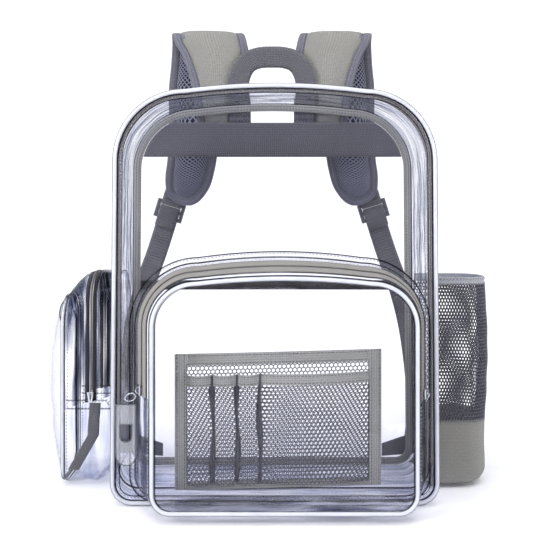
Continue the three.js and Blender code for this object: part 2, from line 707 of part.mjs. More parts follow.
function sidePocket() {
  const radius = SIDE.piping;
  const face = BODY.width / 2 + SIDE.reach + radius;
  const edge = sideShape(1, radius);
  piece("side_pocket_piping", piping(edge, radius, (a, z, up) => point(-face - up, a, z)), PIPING());
  const inner = sideShape(1, 2 * radius + GAP);
  const middle = (inner.foot + inner.top) / 2;
  const tall = (inner.top - inner.foot) / 2;
  piece("side_pocket_face", panel(allRound.map((station) => outline(inner, station)), 4, (a, z, side) => {
    const across = Math.max(1 - ((a - inner.centre) / inner.half) ** 2, 0);
    const along = Math.max(1 - ((z - middle) / tall) ** 2, 0);
    const rise = SIDE.bulge * Math.sqrt(across) * along ** 0.6;
    return point(-face - rise + (side * FILM) / 2, a, z);
  }), CLEAR());

  const share = (length) => length / SIDE.reach;
  const gap = share(GAP);
  const halfZip = share(COIL / 2 + GAP + SIDE.tape);
  const innerEnd = 0.5 - halfZip - gap;
  const outerStart = 0.5 + halfZip + gap;
  const coilHalf = share(COIL / 2);
  const shape = sideShape(0.5);
  const from = stationAt(shape, SIDE.endHeight);
  const slit = GAP / (shape.top - shape.topCorner - shape.footCorner);
  const wall = (outs, start, end, thickness, withSeam = false) => sheet(
    stations(start, end).map((station) => [
      ...(withSeam ? [sidePoint(station, 0, -SIDE.seam)] : []),
      ...outs.map((out) => sidePoint(station, out)),
    ]),
    thickness,
  );
  const to = 10 - from;
  piece("side_pocket_inner_gusset", wall([0, innerEnd], from, to, FILM, true), CLEAR());
  piece("side_pocket_tape_inner", wall([innerEnd + gap, 0.5 - coilHalf - gap], from, to, TAPE), ZIP_BLACK());
  piece("side_pocket_coil", wall([0.5 - coilHalf, 0.5 + coilHalf], from, to, COIL_THICK), ZIP_TAPE());
  piece("side_pocket_tape_outer", wall([0.5 + coilHalf + gap, outerStart - gap], from, to, TAPE), ZIP_BLACK());
  piece("side_pocket_outer_gusset", wall([outerStart, 0.82, 1 - gap], from, to, FILM), CLEAR());
  piece("side_pocket_foot_gusset", wall([0, 0.5, 1 - gap], to - 10 + slit, from - slit, FILM, true), CLEAR());

  // Slider at the front end of the zip, and the grey strip that runs down the wall from it
  const seat = sidePoint(10 - (to - 0.02), 0.5);
  const front = SIDE.centre - SIDE.width / 2;
  const slider = piece(
    "side_pocket_slider",
    new THREE.BoxGeometry(ZIP.sliderWidth, ZIP.sliderThick, ZIP.sliderLength),
    STEEL(),
  );
  slider.position.set(
    seat.x,
    front - COIL_THICK / 2 - GAP - ZIP.sliderThick / 2,
    SIDE.endHeight + ZIP.sliderLength / 2,
  );
  const stripOut = (up) => BODY.width / 2 + mix(SIDE.reach - 2 * radius, SIDE.reach / 2 + COIL, up);
  const rows = [0, 0.3, 0.45, 0.6, 1].map((up) => {
    const z = mix(SIDE.foot + SIDE.footCorner, SIDE.endHeight - GAP, up);
    const fold = up > 0.2 && up < 0.9 ? CLOTH : 0;
    const y = front - FILM / 2 - LAY - CLOTH / 2 - fold;
    return [point(-stripOut(up), y, z), point(-stripOut(up) + SIDE.stripWidth, y, z)];
  });
  piece("side_pocket_strip", sheet(rows, CLOTH), GREY_WEBBING());
}

// Bottle pocket: an open-topped net on a cloth base, its wall a U from the body's side
function bottlePath(inset, reachInset) {
  const front = BOTTLE.centre - BOTTLE.width / 2 + inset;
  const rear = BOTTLE.centre + BOTTLE.width / 2 - inset;
  const far = BODY.width / 2 + BOTTLE.reach - reachInset;
  const radius = BOTTLE.corner;
  const arc = [0, 0.25, 0.5, 0.75, 1].map((share) => (share * Math.PI) / 2);
  return [
    { wall: true, y: front },
    { wall: false, x: far - radius * 1.6, y: front },
    ...arc.map((angle) => ({
      wall: false, x: far - radius + radius * Math.sin(angle), y: front + radius - radius * Math.cos(angle),
    })),
    ...arc.map((angle) => ({
      wall: false, x: far - radius + radius * Math.cos(angle), y: rear - radius + radius * Math.sin(angle),
    })),
    { wall: false, x: far - radius * 1.6, y: rear },
    { wall: true, y: rear },
  ];
}

function bottlePocket() {
  const place = (p, z, stand) => point(p.wall ? wallAt(p.y, z) + stand : p.x, p.y, z);
  const wallSheet = (levels, thickness) => {
    const paths = levels.map(({ inset = 0 }) => bottlePath(thickness / 2, thickness / 2 + inset));
    return sheet(
      paths[0].map((_, i) => levels.map(({ z }, k) => place(paths[k][i], z, LAY))),
      thickness,
    );
  };
  const { foot, base, top, rim, rimThick, tuck } = BOTTLE;
  piece("bottle_rim", wallSheet([{ z: top - rim }, { z: top }], rimThick), GREY_CLOTH());
  const bellied = (share) => ({ z: mix(base + GAP, top - rim - GAP, share), inset: -3 * Math.sin(Math.PI * share) });
  piece("bottle_net", wallSheet([0, 0.33, 0.67, 1].map(bellied), NET), NETTING());
  piece("bottle_base", wallSheet([
    { z: foot, inset: tuck },
    { z: foot + tuck / 3, inset: tuck / 3 },
    { z: foot + tuck, inset: 0 },
    { z: foot + 2 * tuck, inset: 0 },
    { z: base, inset: 0 },
  ], CLOTH), GREY_CLOTH());
  const floorPath = bottlePath(CLOTH + GAP, CLOTH + GAP + tuck);
  const rimPoints = floorPath.map((p) => {
    const seat = place(p, foot + 2 * CLOTH, LAY);
    return { a: seat.x, z: seat.y };
  });
  piece("bottle_floor", panel(rimPoints, 1, (a, b, side) => point(a, b, foot + CLOTH + (side * CLOTH) / 2)), GREY_CLOTH());
}

// Shoulder straps. Each section gives its middle, and the pad's width runs along X.
const outward = (side) => (side === "left" ? -1 : 1);

function padSections(side) {
  return PAD_SECTIONS.map(({ level, back, side: spread, wide }) => {
    const z = BODY.height + level * (level > 0 ? STRAP.crest : STRAP.drop);
    return {
      x: outward(side) * spread * STRAP.spread,
      y: HALF + back * STRAP.stand,
      z,
      half: (wide * STRAP.width) / 2,
    };
  });
}

// The outward face direction of the pad at a section
function padNormal(sections, i) {
  const before = sections[Math.max(i - 1, 0)];
  const after = sections[Math.min(i + 1, sections.length - 1)];
  return point(0, -(after.z - before.z), after.y - before.y).normalize();
}

// A point of the pad's edge drawn in towards its middle; the tip draws in to one centre
function padEdge(sections, i, hand, inset) {
  const here = sections[i];
  const centre = i > TIP_FROM ? sections[TIP_FROM] : here;
  const edge = point(here.x + hand * here.half, here.y, here.z);
  const towards = point(centre.x, centre.y, centre.z).sub(edge);
  return edge.addScaledVector(towards, Math.min(inset / towards.length(), 0.96));
}

function strap(side) {
  const sections = padSections(side);
  const last = sections.length - 1;
  const core = sections.map((_, i) => {
    const normal = padNormal(sections, i);
    const start = padEdge(sections, i, -1, STRAP.binding + GAP);
    const end = padEdge(sections, i, 1, STRAP.binding + GAP);
    const slim = i > TIP_FROM ? mix(1, 0.55, (i - TIP_FROM) / (last - TIP_FROM)) : 1;
    const fat = i === 0 ? STRAP.edge : STRAP.thick * slim;
    const at = (share, height) => start.clone().lerp(end, share).addScaledVector(normal, height / 2);
    return [
      at(0, -STRAP.edge), at(0.22, -fat), at(0.78, -fat), at(1, -STRAP.edge),
      at(1, STRAP.edge), at(0.78, fat), at(0.22, fat), at(0, STRAP.edge),
    ];
  });
  piece(`strap_pad_${side}`, loft(core), AIR_MESH());

  const order = [
    ...sections.map((_, i) => ({ i, hand: -1 })),
    ...sections.map((_, i) => ({ i: last - i, hand: 1 })),
  ];
  const edging = order.map(({ i, hand }) => {
    const normal = padNormal(sections, i);
    const outer = padEdge(sections, i, hand, 0);
    const inner = padEdge(sections, i, hand, STRAP.binding);
    const lift = STRAP.edge / 2;
    return [
      outer.clone().addScaledVector(normal, lift), inner.clone().addScaledVector(normal, lift),
      inner.clone().addScaledVector(normal, -lift), outer.clone().addScaledVector(normal, -lift),
    ];
  });
  piece(`strap_binding_${side}`, loft(edging), BINDING());
  strapFastening(side, sections[last]);
}

// The tab, ladder lock, adjuster webbing and anchor below a pad's tip
function strapFastening(side, tip) {
  const hand = outward(side);
  const tilt = radians(LOCK.tilt);
  const down = point(hand * Math.sin(tilt), 0, -Math.cos(tilt));
  const along = point(Math.cos(tilt), 0, hand * Math.sin(tilt));
  const origin = point(tip.x + hand * LOCK.out, tip.y + LOCK.behind, tip.z - LOCK.below);
  const at = (distance, behind) => origin.clone().addScaledVector(down, distance).add(point(0, behind, 0));
  const pitch = LOCK.bar + LOCK.slot;
  const length = 2 * pitch + LOCK.bar;

  const half = LOCK.width / 2;
  const opening = ADJUSTER.width / 2 + 1;
  const slots = [LOCK.bar, LOCK.bar + pitch].map((from) => rectangle(-opening, from, opening, from + LOCK.slot));
  const lock = piece(
    `ladder_lock_${side}`,
    plate(rectangle(-half, 0, half, length), slots, LOCK.thick),
    PLASTIC(),
  );
  // The frame is drawn across and down, and its thickness runs backwards
  lock.quaternion.setFromRotationMatrix(new THREE.Matrix4().makeBasis(along, down, point(0, 1, 0)));
  lock.position.copy(at(0, -LOCK.thick / 2));

  // A loop of webbing round a bar: both runs lie just off the bar's faces
  const off = LOCK.thick / 2 + GAP + WEBBING / 2;
  const ribbon = (route, width) => sheet(route.map(({ centre, across }) => [
    centre.clone().addScaledVector(across, -width / 2),
    centre.clone().addScaledVector(across, width / 2),
  ]), WEBBING);
  const wrap = LOCK.bar + GAP + WEBBING / 2;
  const tabRoute = [
    [-LOCK.tabTuck, -off], [0, -off], [wrap - 1, -off], [wrap, -off + 1],
    [wrap, off - 1], [wrap - 1, off], [0, off], [-LOCK.tabTuck, off],
  ].map(([distance, behind]) => ({ centre: at(distance, behind), across: along }));
  piece(`strap_tab_${side}`, ribbon(tabRoute, ADJUSTER.width), GREY_WEBBING());

  const lower = 2 * pitch;
  const turnAt = lower - GAP - WEBBING / 2;
  const anchorZ = ADJUSTER.end;
  const anchorX = hand * (BODY.width / 2 + ADJUSTER.endSide);
  const start = at(length + 6, off);
  const anchorY = behindBack(anchorX, anchorZ, LAY + WEBBING + GAP + WEBBING / 2);
  const route = [
    [length + ADJUSTER.tail, -off], [turnAt + 1, -off], [turnAt, -off + 1],
    [turnAt, off - 1], [turnAt + 1, off], [length + 6, off],
  ].map(([distance, behind]) => ({ centre: at(distance, behind), across: along.clone() }));
  const bends = ADJUSTER_BENDS.map(({ down: fall, out, back }) => point(
    mix(start.x, anchorX, out),
    mix(anchorY, start.y, back),
    mix(start.z, anchorZ, fall),
  ));
  bends.push(point(anchorX, anchorY, anchorZ));
  bends.forEach((centre, i) => {
    const before = i === 0 ? start : bends[i - 1];
    const after = bends[Math.min(i + 1, bends.length - 1)];
    const run = after.clone().sub(before);
    const across = point(-run.z, 0, run.x).normalize();
    route.push({ centre, across });
  });
  piece(`adjuster_${side}`, ribbon(route, ADJUSTER.width), GREY_WEBBING());

  // The anchor is a wedge of webbing sewn to the back at the seam
  const inner = hand * (BODY.width / 2 - ANCHOR.width);
  const outer = hand * (BODY.width / 2 + ADJUSTER.endSide + ADJUSTER.width / 2);
  const rows = [0, 0.5, 1].map((share) => {
    const x = mix(inner, outer, share);
    const low = ANCHOR.foot + share * 4;
    const high = ANCHOR.foot + ANCHOR.height * mix(0.45, 1, share);
    return [low, high].map((z) => point(x, behindBack(x, z, LAY + WEBBING / 2), z));
  });
  piece(`anchor_tab_${side}`, sheet(rows, WEBBING), GREY_WEBBING());
}

// Grab handle: webbing that keeps its face to the front round both turns
function handle() {
  const half = HANDLE.span / 2;
  const legFoot = BODY.height - HANDLE.low;
  const rows = [{ side: 1, z: legFoot, turn: 0, lean: 0 }, { side: 1, z: BODY.height, turn: 0, lean: 0 }];
  for (const { side, up, turn } of HANDLE_TURNS) {
    rows.push({ side, z: BODY.height + up * HANDLE.rise, turn, lean: HANDLE.lean * up });
  }
  const mirrored = rows.slice(0, -1).reverse().map((row) => ({ ...row, side: -row.side, turn: 180 - row.turn }));
  const grid = [...rows, ...mirrored].map(({ side, z, turn, lean }) => {
    const x = -side * half;
    const y = behindBack(x, Math.min(z, BODY.height), LAY + HANDLE.thick / 2) + lean;
    const centre = point(x, y, z);
    const across = point(Math.cos(radians(turn)), 0, -Math.sin(radians(turn)));
    return [
      centre.clone().addScaledVector(across, -HANDLE.width / 2),
      centre.clone().addScaledVector(across, HANDLE.width / 2),
    ];
  });
  piece("handle", sheet(grid, HANDLE.thick), GREY_WEBBING());
}

mainBody();
backBand("back_band", BODY.height - BAND.below - BAND.width, BAND.width, GREY_WEBBING());
backBand("cross_band", CROSS.above, CROSS.width, BLACK_WEBBING());
frontPocket();
organiser();
sidePocket();
bottlePocket();
strap("left");
strap("right");
handle();

export default backpack;
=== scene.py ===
"""Clear backpack: the finished surfaces, seams, nets, zips, padding and fittings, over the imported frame."""
import math

import bpy
from mathutils import Matrix, Vector, noise


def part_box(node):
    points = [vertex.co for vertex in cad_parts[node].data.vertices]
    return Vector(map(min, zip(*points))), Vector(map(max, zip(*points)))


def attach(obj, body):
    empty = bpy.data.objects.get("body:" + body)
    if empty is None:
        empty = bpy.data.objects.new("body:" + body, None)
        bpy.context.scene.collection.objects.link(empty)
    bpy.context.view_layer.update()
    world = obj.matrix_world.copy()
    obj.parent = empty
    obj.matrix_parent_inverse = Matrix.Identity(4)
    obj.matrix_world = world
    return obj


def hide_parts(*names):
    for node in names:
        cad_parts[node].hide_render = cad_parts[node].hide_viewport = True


bl_info = {
    "name": "Clear backpack",
    "version": (1, 0, 0),
    "blender": (4, 5, 0),
    "location": "3D View > Sidebar > Clear bag",
    "description": "Models and finishes a clear backpack with a net organiser and padded straps",
    "category": "Object",
}

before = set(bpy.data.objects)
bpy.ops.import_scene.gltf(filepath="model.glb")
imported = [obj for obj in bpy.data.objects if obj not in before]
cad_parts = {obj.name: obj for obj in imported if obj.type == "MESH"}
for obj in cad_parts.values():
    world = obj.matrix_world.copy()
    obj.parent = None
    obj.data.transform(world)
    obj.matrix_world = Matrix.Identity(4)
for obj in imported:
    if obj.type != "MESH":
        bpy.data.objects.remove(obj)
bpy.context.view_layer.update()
MM = 0.001

# Walls and clearances in millimetres, as the solids have them
GAP = 0.3
LAY = 0.6
FILM = 1.2
TAPE = 1.2
COIL = 3.2
WEBBING = 1.8
CLOTH = 1.4
NET = 1.2


def low(node, axis):
    """The lowest coordinate of a node in millimetres."""
    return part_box(node)[0][axis] / MM


def high(node, axis):
    """The highest coordinate of a node in millimetres."""
    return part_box(node)[1][axis] / MM


# Main body
WIDTH = 326.0
HEIGHT = high("front_piping", 2)
DEPTH = -2 * low("front_piping", 1)
HALF = DEPTH / 2
TOP_CORNER = 72.0
FOOT_CORNER = 22.0
CROWN = 6.0
FLARE = 3.0
SWELL = 1.0
FRONT_BOW = 5.0
BACK_BOW = 4.0
PIPING = 2.6
BINDING = 8.0
ZIP_FLANGE = 11.0
ZIP_TAPE = 16.0
ZIP_END_LEFT = 84.0
ZIP_END_RIGHT = 30.0

# Depths behind the front where one strip of the wall meets the next
WALL_FRONT = 2 * PIPING + GAP
FLANGE_END = WALL_FRONT + ZIP_FLANGE
FRONT_TAPE_END = FLANGE_END + GAP + ZIP_TAPE
COIL_END = FRONT_TAPE_END + GAP + COIL
REAR_TAPE_END = COIL_END + GAP + ZIP_TAPE
WALL_BACK = DEPTH - FILM - GAP

# Front pocket: its base lies on the front panel and its face stands before it
# Width, foot, top, top corner, crown and centre of each
POCKET_BASE = (290.0, 10.5, 244.0, 64.0, 6.0, 5.0)
POCKET_FACE = (255.0, 8.0, 229.0, 44.0, 5.0, 8.0)
POCKET_FOOT_CORNER = 20.0
POCKET_STAND = 45.0
POCKET_PIPING = 2.4
POCKET_BULGE = 10.0
POCKET_FLANGE = 10.0
POCKET_TAPE = 11.0
POCKET_END_LEFT = 116.0
POCKET_END_RIGHT = 112.0
POCKET_SEAM = 4.0
RING_HALF = 5.0
RING_WIRE = 0.95

# Organiser
BOARD_WIDTH = 206.0
BOARD_HEIGHT = 136.0
BOARD_FOOT = 17.0
BOARD_CENTRE = 3.0
BOARD_SLOPE = math.tan(math.radians(1.5))
SIDE_BINDING = 12.0
FOOT_BINDING = 7.0
TOP_BINDING = 12.0
NET_DROP = 21.0
NET_BINDING = 11.0
# Start and end of each slot along the net, and how far it stands off the board
SLOTS = ((0.0, 0.14, 7.0), (0.14, 0.275, 8.0), (0.275, 0.40, 7.5), (0.40, 1.0, 9.0))

# Pockets on the side walls
SIDE_WIDTH = 73.0
SIDE_CENTRE = 24.0
SIDE_REACH = 62.0
SIDE_TOP = 231.0
SIDE_SHOULDER = 25.0
SIDE_BULGE = 20.0
SIDE_PIPING = 2.2
SIDE_TAPE = 7.0
SIDE_END = 92.0
BOTTLE_REACH = 70.0
BOTTLE_CORNER = 26.0
BOTTLE_FOOT = 5.0
BOTTLE_BASE = 72.0
BOTTLE_TOP = 226.0
BOTTLE_RIM = 9.0
BOTTLE_TUCK = 9.0
BOTTLE_AROUND = 243.0

# Straps: each section's level, distance behind the bag, place to the side and width
STRAP_WIDTH = 62.0
STRAP_SPREAD = 98.0
STRAP_CREST = 88.0
STRAP_DROP = 119.0
STRAP_STAND = 52.0
STRAP_THICK = 9.0
STRAP_EDGE = 4.4
STRAP_BINDING = 11.0
PAD_SECTIONS = (
    (-0.44, 0.13, 0.65, 0.77), (-0.17, 0.15, 0.66, 0.80), (0.06, 0.19, 0.67, 0.90),
    (0.33, 0.25, 0.67, 1.03), (0.66, 0.32, 0.69, 1.28), (0.86, 0.39, 0.75, 1.40),
    (0.97, 0.48, 0.78, 1.41), (1.00, 0.59, 0.80, 1.40), (0.97, 0.70, 0.81, 1.38),
    (0.86, 0.79, 0.83, 1.33), (0.60, 0.89, 0.88, 1.24), (0.28, 0.96, 0.94, 1.15),
    (-0.21, 1.00, 0.98, 1.03), (-0.51, 1.00, 1.01, 0.99), (-0.67, 0.97, 1.04, 0.97),
    (-0.79, 0.95, 1.06, 0.90), (-0.88, 0.94, 1.08, 0.77), (-0.96, 0.94, 1.08, 0.50),
    (-1.00, 0.94, 1.07, 0.18),
)
TIP_FROM = 15
PAD_LENGTH = 470.0
LOCK_BAR = 4.0
LOCK_SLOT = 5.6
LOCK_THICK = 4.0
LOCK_TILT = 17.0
LOCK_OUT = 19.0
LOCK_BELOW = 2.0
LOCK_BEHIND = 6.8
TAB_TUCK = 12.0
# The lock sits this much closer to the pad than its solid does, as pulled tight
LOCK_LIFT = 7.0
STRAP_WEB = 25.0
ADJUSTER_TAIL = 10.0
ADJUSTER_END = 26.0
ADJUSTER_SIDE = 5.0
ADJUSTER_BENDS = (
    (0.14, 0.32, 0.97), (0.30, 0.72, 0.91), (0.46, 1.00, 0.80),
    (0.62, 1.14, 0.62), (0.78, 1.18, 0.36), (0.90, 1.12, 0.14),
)
ANCHOR_WIDTH = 34.0
ANCHOR_HEIGHT = 32.0
ANCHOR_FOOT = 10.0
HANDLE_WIDTH = 25.0
HANDLE_SPAN = 76.0
HANDLE_RISE = 70.0
HANDLE_LOW = 45.0
HANDLE_LEAN = 6.0
HANDLE_THICK = 2.0
HANDLE_TURNS = (
    (1.03, 0.12, 4), (1.05, 0.36, 14), (0.92, 0.58, 38), (0.68, 0.73, 66),
    (0.36, 0.79, 84), (0.00, 0.80, 90),
)


def mix(a, b, share):
    return a + (b - a) * share


def ramp(value, start, end):
    """From 0 to 1, smoothly, as value goes from start to end."""
    share = min(max((value - start) / (end - start), 0.0), 1.0)
    return share * share * (3 - 2 * share)


def smooth(rows, t):
    """A smooth curve through rows of numbers, at a real-valued row t."""
    last = len(rows) - 1
    i = min(max(int(math.floor(t)), 0), last - 1)
    share = t - i
    before = rows[max(i - 1, 0)]
    after = rows[min(i + 2, last)]
    out = []
    for p, a, b, q in zip(before, rows[i], rows[i + 1], after):
        tail = 2 * p - 5 * a + 4 * b - q
        turn = -p + 3 * a - 3 * b + q
        out.append(0.5 * (2 * a + (b - p) * share + tail * share**2 + turn * share**3))
    return out


def ripple(point, size, seed=0.0):
    """Slow unevenness from about -1 to 1, with waves of a size in millimetres."""
    return noise.noise(Vector(point) / size + Vector((seed, 2.3 * seed, -seed)))


class Outline:
    """A flat foot, round corners and a crowned top; the station runs from 0 to 10 round it."""

    def __init__(self, half, foot, top, foot_corner, top_corner, crown=0.0, flare=0.0, centre=0.0):
        self.half = half
        self.foot = foot
        self.top = top
        self.foot_corner = foot_corner
        self.top_corner = top_corner
        self.crown = crown
        self.flare = flare
        self.centre = centre

    def at(self, station):
        around = station % 10
        left = around > 5
        t = 10 - around if left else around
        stretch = min(int(t), 4)
        share = t - stretch
        turn = share * math.pi / 2
        a = self.half
        z = self.foot
        if stretch == 0:
            a = (self.half - self.foot_corner) * share
        elif stretch == 1:
            a = self.half - self.foot_corner * (1 - math.sin(turn))
            z = self.foot + self.foot_corner * (1 - math.cos(turn))
        elif stretch == 2:
            z = mix(self.foot + self.foot_corner, self.top - self.top_corner, share)
        elif stretch == 3:
            a = self.half - self.top_corner * (1 - math.cos(turn))
            z = self.top - self.top_corner * (1 - math.sin(turn))
        else:
            a = (self.half - self.top_corner) * (1 - share)
            z = self.top + self.crown * (1 - (1 - share) ** 2)
        a *= self.widening(z)
        return self.centre + (-a if left else a), z

    def widening(self, z):
        return 1 + self.flare / self.half * (1 - (z - self.foot) / (self.top - self.foot))

    def away(self, station):
        """The direction that points out of the outline at a station."""
        a0, z0 = self.at(station - 0.02)
        a1, z1 = self.at(station + 0.02)
        length = math.hypot(a1 - a0, z1 - z0)
        return (z1 - z0) / length, -(a1 - a0) / length

    def half_at(self, z):
        half = self.half
        over = z - (self.top - self.top_corner)
        under = self.foot + self.foot_corner - z
        if over > 0:
            half += math.sqrt(max(self.top_corner**2 - over**2, 0)) - self.top_corner
        if under > 0:
            half += math.sqrt(max(self.foot_corner**2 - under**2, 0)) - self.foot_corner
        return half * self.widening(z)

    def station_at(self, z):
        foot = self.foot + self.foot_corner
        if z < foot:
            return 1 + math.acos(1 - (z - self.foot) / self.foot_corner) / (math.pi / 2)
        return 2 + (z - foot) / (self.top - self.top_corner - foot)

    def even(self, start, end, count):
        """Stations at even distances from start to end, and the length between the two."""
        steps = 1200
        fine = [mix(start, end, i / steps) for i in range(steps + 1)]
        spots = [self.at(station) for station in fine]
        run = [0.0]
        for (a0, z0), (a1, z1) in zip(spots, spots[1:]):
            run.append(run[-1] + math.hypot(a1 - a0, z1 - z0))
        out = []
        i = 0
        for k in range(count + 1):
            goal = run[-1] * k / count
            while i < steps - 1 and run[i + 1] < goal:
                i += 1
            out.append(mix(fine[i], fine[i + 1], (goal - run[i]) / max(run[i + 1] - run[i], 1e-9)))
        return out, run[-1]


def body_outline(inset, depth):
    share = min(max(depth / DEPTH, 0), 1)
    swell = SWELL * 4 * share * (1 - share)
    return Outline(
        WIDTH / 2 - inset + swell, inset, HEIGHT - CROWN - inset + swell / 2,
        FOOT_CORNER - inset, TOP_CORNER - inset, CROWN, FLARE,
    )


def bow(amount, a, z):
    across = max(1 - (a / (WIDTH / 2)) ** 2, 0)
    along = max(1 - ((z - HEIGHT / 2) / (HEIGHT / 2)) ** 2, 0)
    return amount * across * along


def front_at(a, z):
    return -HALF + PIPING - bow(FRONT_BOW, a, z)


def back_at(a, z):
    return HALF - FILM / 2 + bow(BACK_BOW, a, z)


def behind_back(a, z, distance):
    return back_at(a, z) + FILM / 2 + distance


def pocket_base_at(a, z):
    return front_at(a, z) - FILM - LAY


def pocket_outline(out, inset=0.0):
    width, foot, top, corner, crown, centre = (mix(a, b, out) for a, b in zip(POCKET_BASE, POCKET_FACE))
    return Outline(
        width / 2 - inset, foot + inset, top - inset, POCKET_FOOT_CORNER - inset, corner - inset, crown,
        0.0, centre,
    )


def pocket_point(station, out):
    a, z = pocket_outline(out).at(station)
    return Vector((a, mix(pocket_base_at(a, z), -HALF - POCKET_STAND, out), z))


def side_outline(out, inset=0.0):
    drop = SIDE_SHOULDER * max((out - 0.45) / 0.55, 0) ** 2
    foot = mix(18.0, 4.0, min(2 * out, 1))
    return Outline(
        SIDE_WIDTH / 2 - inset, foot + inset, SIDE_TOP - drop - inset,
        16.0 - inset, 32.0 - inset, 0.0, 0.0, SIDE_CENTRE,
    )


def wall_at(y, z):
    return body_outline(0, y + HALF).half_at(z)


def side_point(station, out, inset=0.0):
    a, z = side_outline(out, inset).at(station)
    return Vector((-mix(wall_at(a, z) + LAY + FILM / 2, WIDTH / 2 + SIDE_REACH, out), a, z))


# Making and finishing pieces

def select_only(piece):
    bpy.ops.object.select_all(action="DESELECT")
    piece.select_set(True)
    bpy.context.view_layer.objects.active = piece


def merge(piece, distance=1e-6, outward=False):
    """Joins vertices that lie on each other, and turns the faces of a closed piece to face out."""
    select_only(piece)
    bpy.ops.object.mode_set(mode="EDIT")
    bpy.ops.mesh.select_all(action="SELECT")
    bpy.ops.mesh.remove_doubles(threshold=distance)
    if outward:
        bpy.ops.mesh.normals_make_consistent(inside=False)
    bpy.ops.object.mode_set(mode="OBJECT")


def apply(piece, kind, **settings):
    """Adds a modifier with its settings and applies it."""
    select_only(piece)
    modifier = piece.modifiers.new(kind.title(), kind)
    for name, value in settings.items():
        setattr(modifier, name, value)
    bpy.ops.object.modifier_apply(modifier=modifier.name)


def lay(name, across, along, place, size=(1.0, 1.0), closed=False):
    """A grid of cloth or film laid on a surface; place takes shares of its width and length, and
    size is its width and length in millimetres, kept as its UV map."""
    bpy.ops.object.select_all(action="DESELECT")
    bpy.ops.mesh.primitive_grid_add(x_subdivisions=across, y_subdivisions=along, size=1)
    piece = bpy.context.object
    piece.name = name
    piece.data.name = name
    mesh = piece.data
    shares = [(vertex.co.x + 0.5, vertex.co.y + 0.5) for vertex in mesh.vertices]
    for vertex, (u, v) in zip(mesh.vertices, shares):
        vertex.co = Vector(place(u, v)) * MM
    uvs = mesh.uv_layers.active.data
    for loop in mesh.loops:
        u, v = shares[loop.vertex_index]
        uvs[loop.index].uv = (u * size[0], v * size[1])
    # The rim value is the distance from the side edges; the clear film finish paints a grey line of shade
    # along its cut edges with it
    rim = mesh.attributes.new("rim", "FLOAT", "POINT")
    for item, (u, v) in zip(rim.data, shares):
        item.value = min(u, 1 - u) * size[0]
    if closed:
        merge(piece, outward=True)
    return piece


def finish(piece, finish_name, slot, nodes=(), smooth_angle=None):
    """Gives a piece its finish and its smooth shading, lets it ride on the root, and hides the solids it
    stands for.
    """
    piece.data.materials.clear()
    piece.data.materials.append(material(finish_name))
    select_only(piece)
    if smooth_angle is None:
        bpy.ops.object.shade_smooth()
    else:
        bpy.ops.object.shade_smooth_by_angle(angle=math.radians(smooth_angle))
    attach(piece, "root")
    if nodes:
        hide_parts(*nodes)
    return piece


def cloth(name, across, along, place, size, thickness, finish_name, slot, nodes=(), joined=False,
          turned=False, bevel=0.0, segments=2):
    """Cloth, tape or film laid on a surface. Joined closes it round, turned runs its weave across
    it, and a bevel rounds its edges."""
    piece = lay(name, across, along, place, size)
    if joined:
        merge(piece)
    if turned:
        for loop in piece.data.uv_layers.active.data:
            loop.uv = (loop.uv[1], loop.uv[0])
    apply(piece, "SOLIDIFY", thickness=thickness * MM, offset=0.0, use_even_offset=False)
    if bevel:
        apply(piece, "BEVEL", width=bevel * MM, segments=segments, limit_method="ANGLE", angle_limit=1.0)
    return finish(piece, finish_name, slot, nodes)


def like_node(name, node, bevel=0.0, segments=2):
    """A copy of a solid with its corners merged and its edges rounded."""
    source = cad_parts[node]
    piece = source.copy()
    piece.data = source.data.copy()
    piece.name = name
    piece.data.name = name
    piece.hide_render = False
    piece.hide_viewport = False
    for key in [key for key in piece.keys() if key.startswith("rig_")]:
        del piece[key]
    bpy.context.scene.collection.objects.link(piece)
    merge(piece, 1e-5)
    select_only(piece)
    bpy.ops.object.mode_set(mode="EDIT")
    bpy.ops.mesh.select_all(action="SELECT")
    bpy.ops.mesh.dissolve_limited(angle_limit=math.radians(2))
    bpy.ops.object.mode_set(mode="OBJECT")
    if bevel:
        apply(piece, "BEVEL", width=bevel * MM, segments=segments, limit_method="ANGLE", angle_limit=0.6)
    return piece


def grain(length, width, height):
    """One stitch or tooth, round in section and drawn in at both ends."""
    bpy.ops.object.select_all(action="DESELECT")
    bpy.ops.mesh.primitive_ico_sphere_add(subdivisions=1, radius=0.5)
    piece = bpy.context.object
    bpy.ops.transform.resize(value=(length * MM, width * MM, height * MM))
    bpy.ops.object.transform_apply(location=False, rotation=False, scale=True)
    return piece


def repeat(name, pattern, places):
    """One piece from many copies of a pattern; each place is a point in millimetres, the direction
    of the pattern's length and the direction out of the surface."""
    corners = [vertex.co.copy() for vertex in pattern.data.vertices]
    faces = [tuple(polygon.vertices) for polygon in pattern.data.polygons]
    vertices = []
    polygons = []
    for spot, along, out in places:
        along = along.normalized()
        across = out.cross(along).normalized()
        turned = Matrix((along, across, along.cross(across))).transposed()
        start = len(vertices)
        vertices.extend(Vector(spot) * MM + turned @ corner for corner in corners)
        polygons.extend(tuple(start + i for i in face) for face in faces)
    mesh = bpy.data.meshes.new(name)
    mesh.from_pydata(vertices, [], polygons)
    piece = bpy.data.objects.new(name, mesh)
    bpy.context.scene.collection.objects.link(piece)
    bpy.data.objects.remove(pattern)
    return piece


def spaced(path, pitch, start=0.0):
    """Places at even distances along a path of points, each with its direction."""
    places = []
    wanted = start
    run = 0.0
    for a, b in zip(path, path[1:]):
        length = (b - a).length
        while length > 0 and wanted <= run + length:
            places.append((a.lerp(b, (wanted - run) / length), b - a))
            wanted += pitch
        run += length
    return places


def sewn(point_at, out, stations, away, stand=0.8):
    """A row for stitches at one out share of a wall, lifted off it."""
    spots = [point_at(station, out) for station in stations]
    return [spot + away(spot) * stand for spot in spots], away


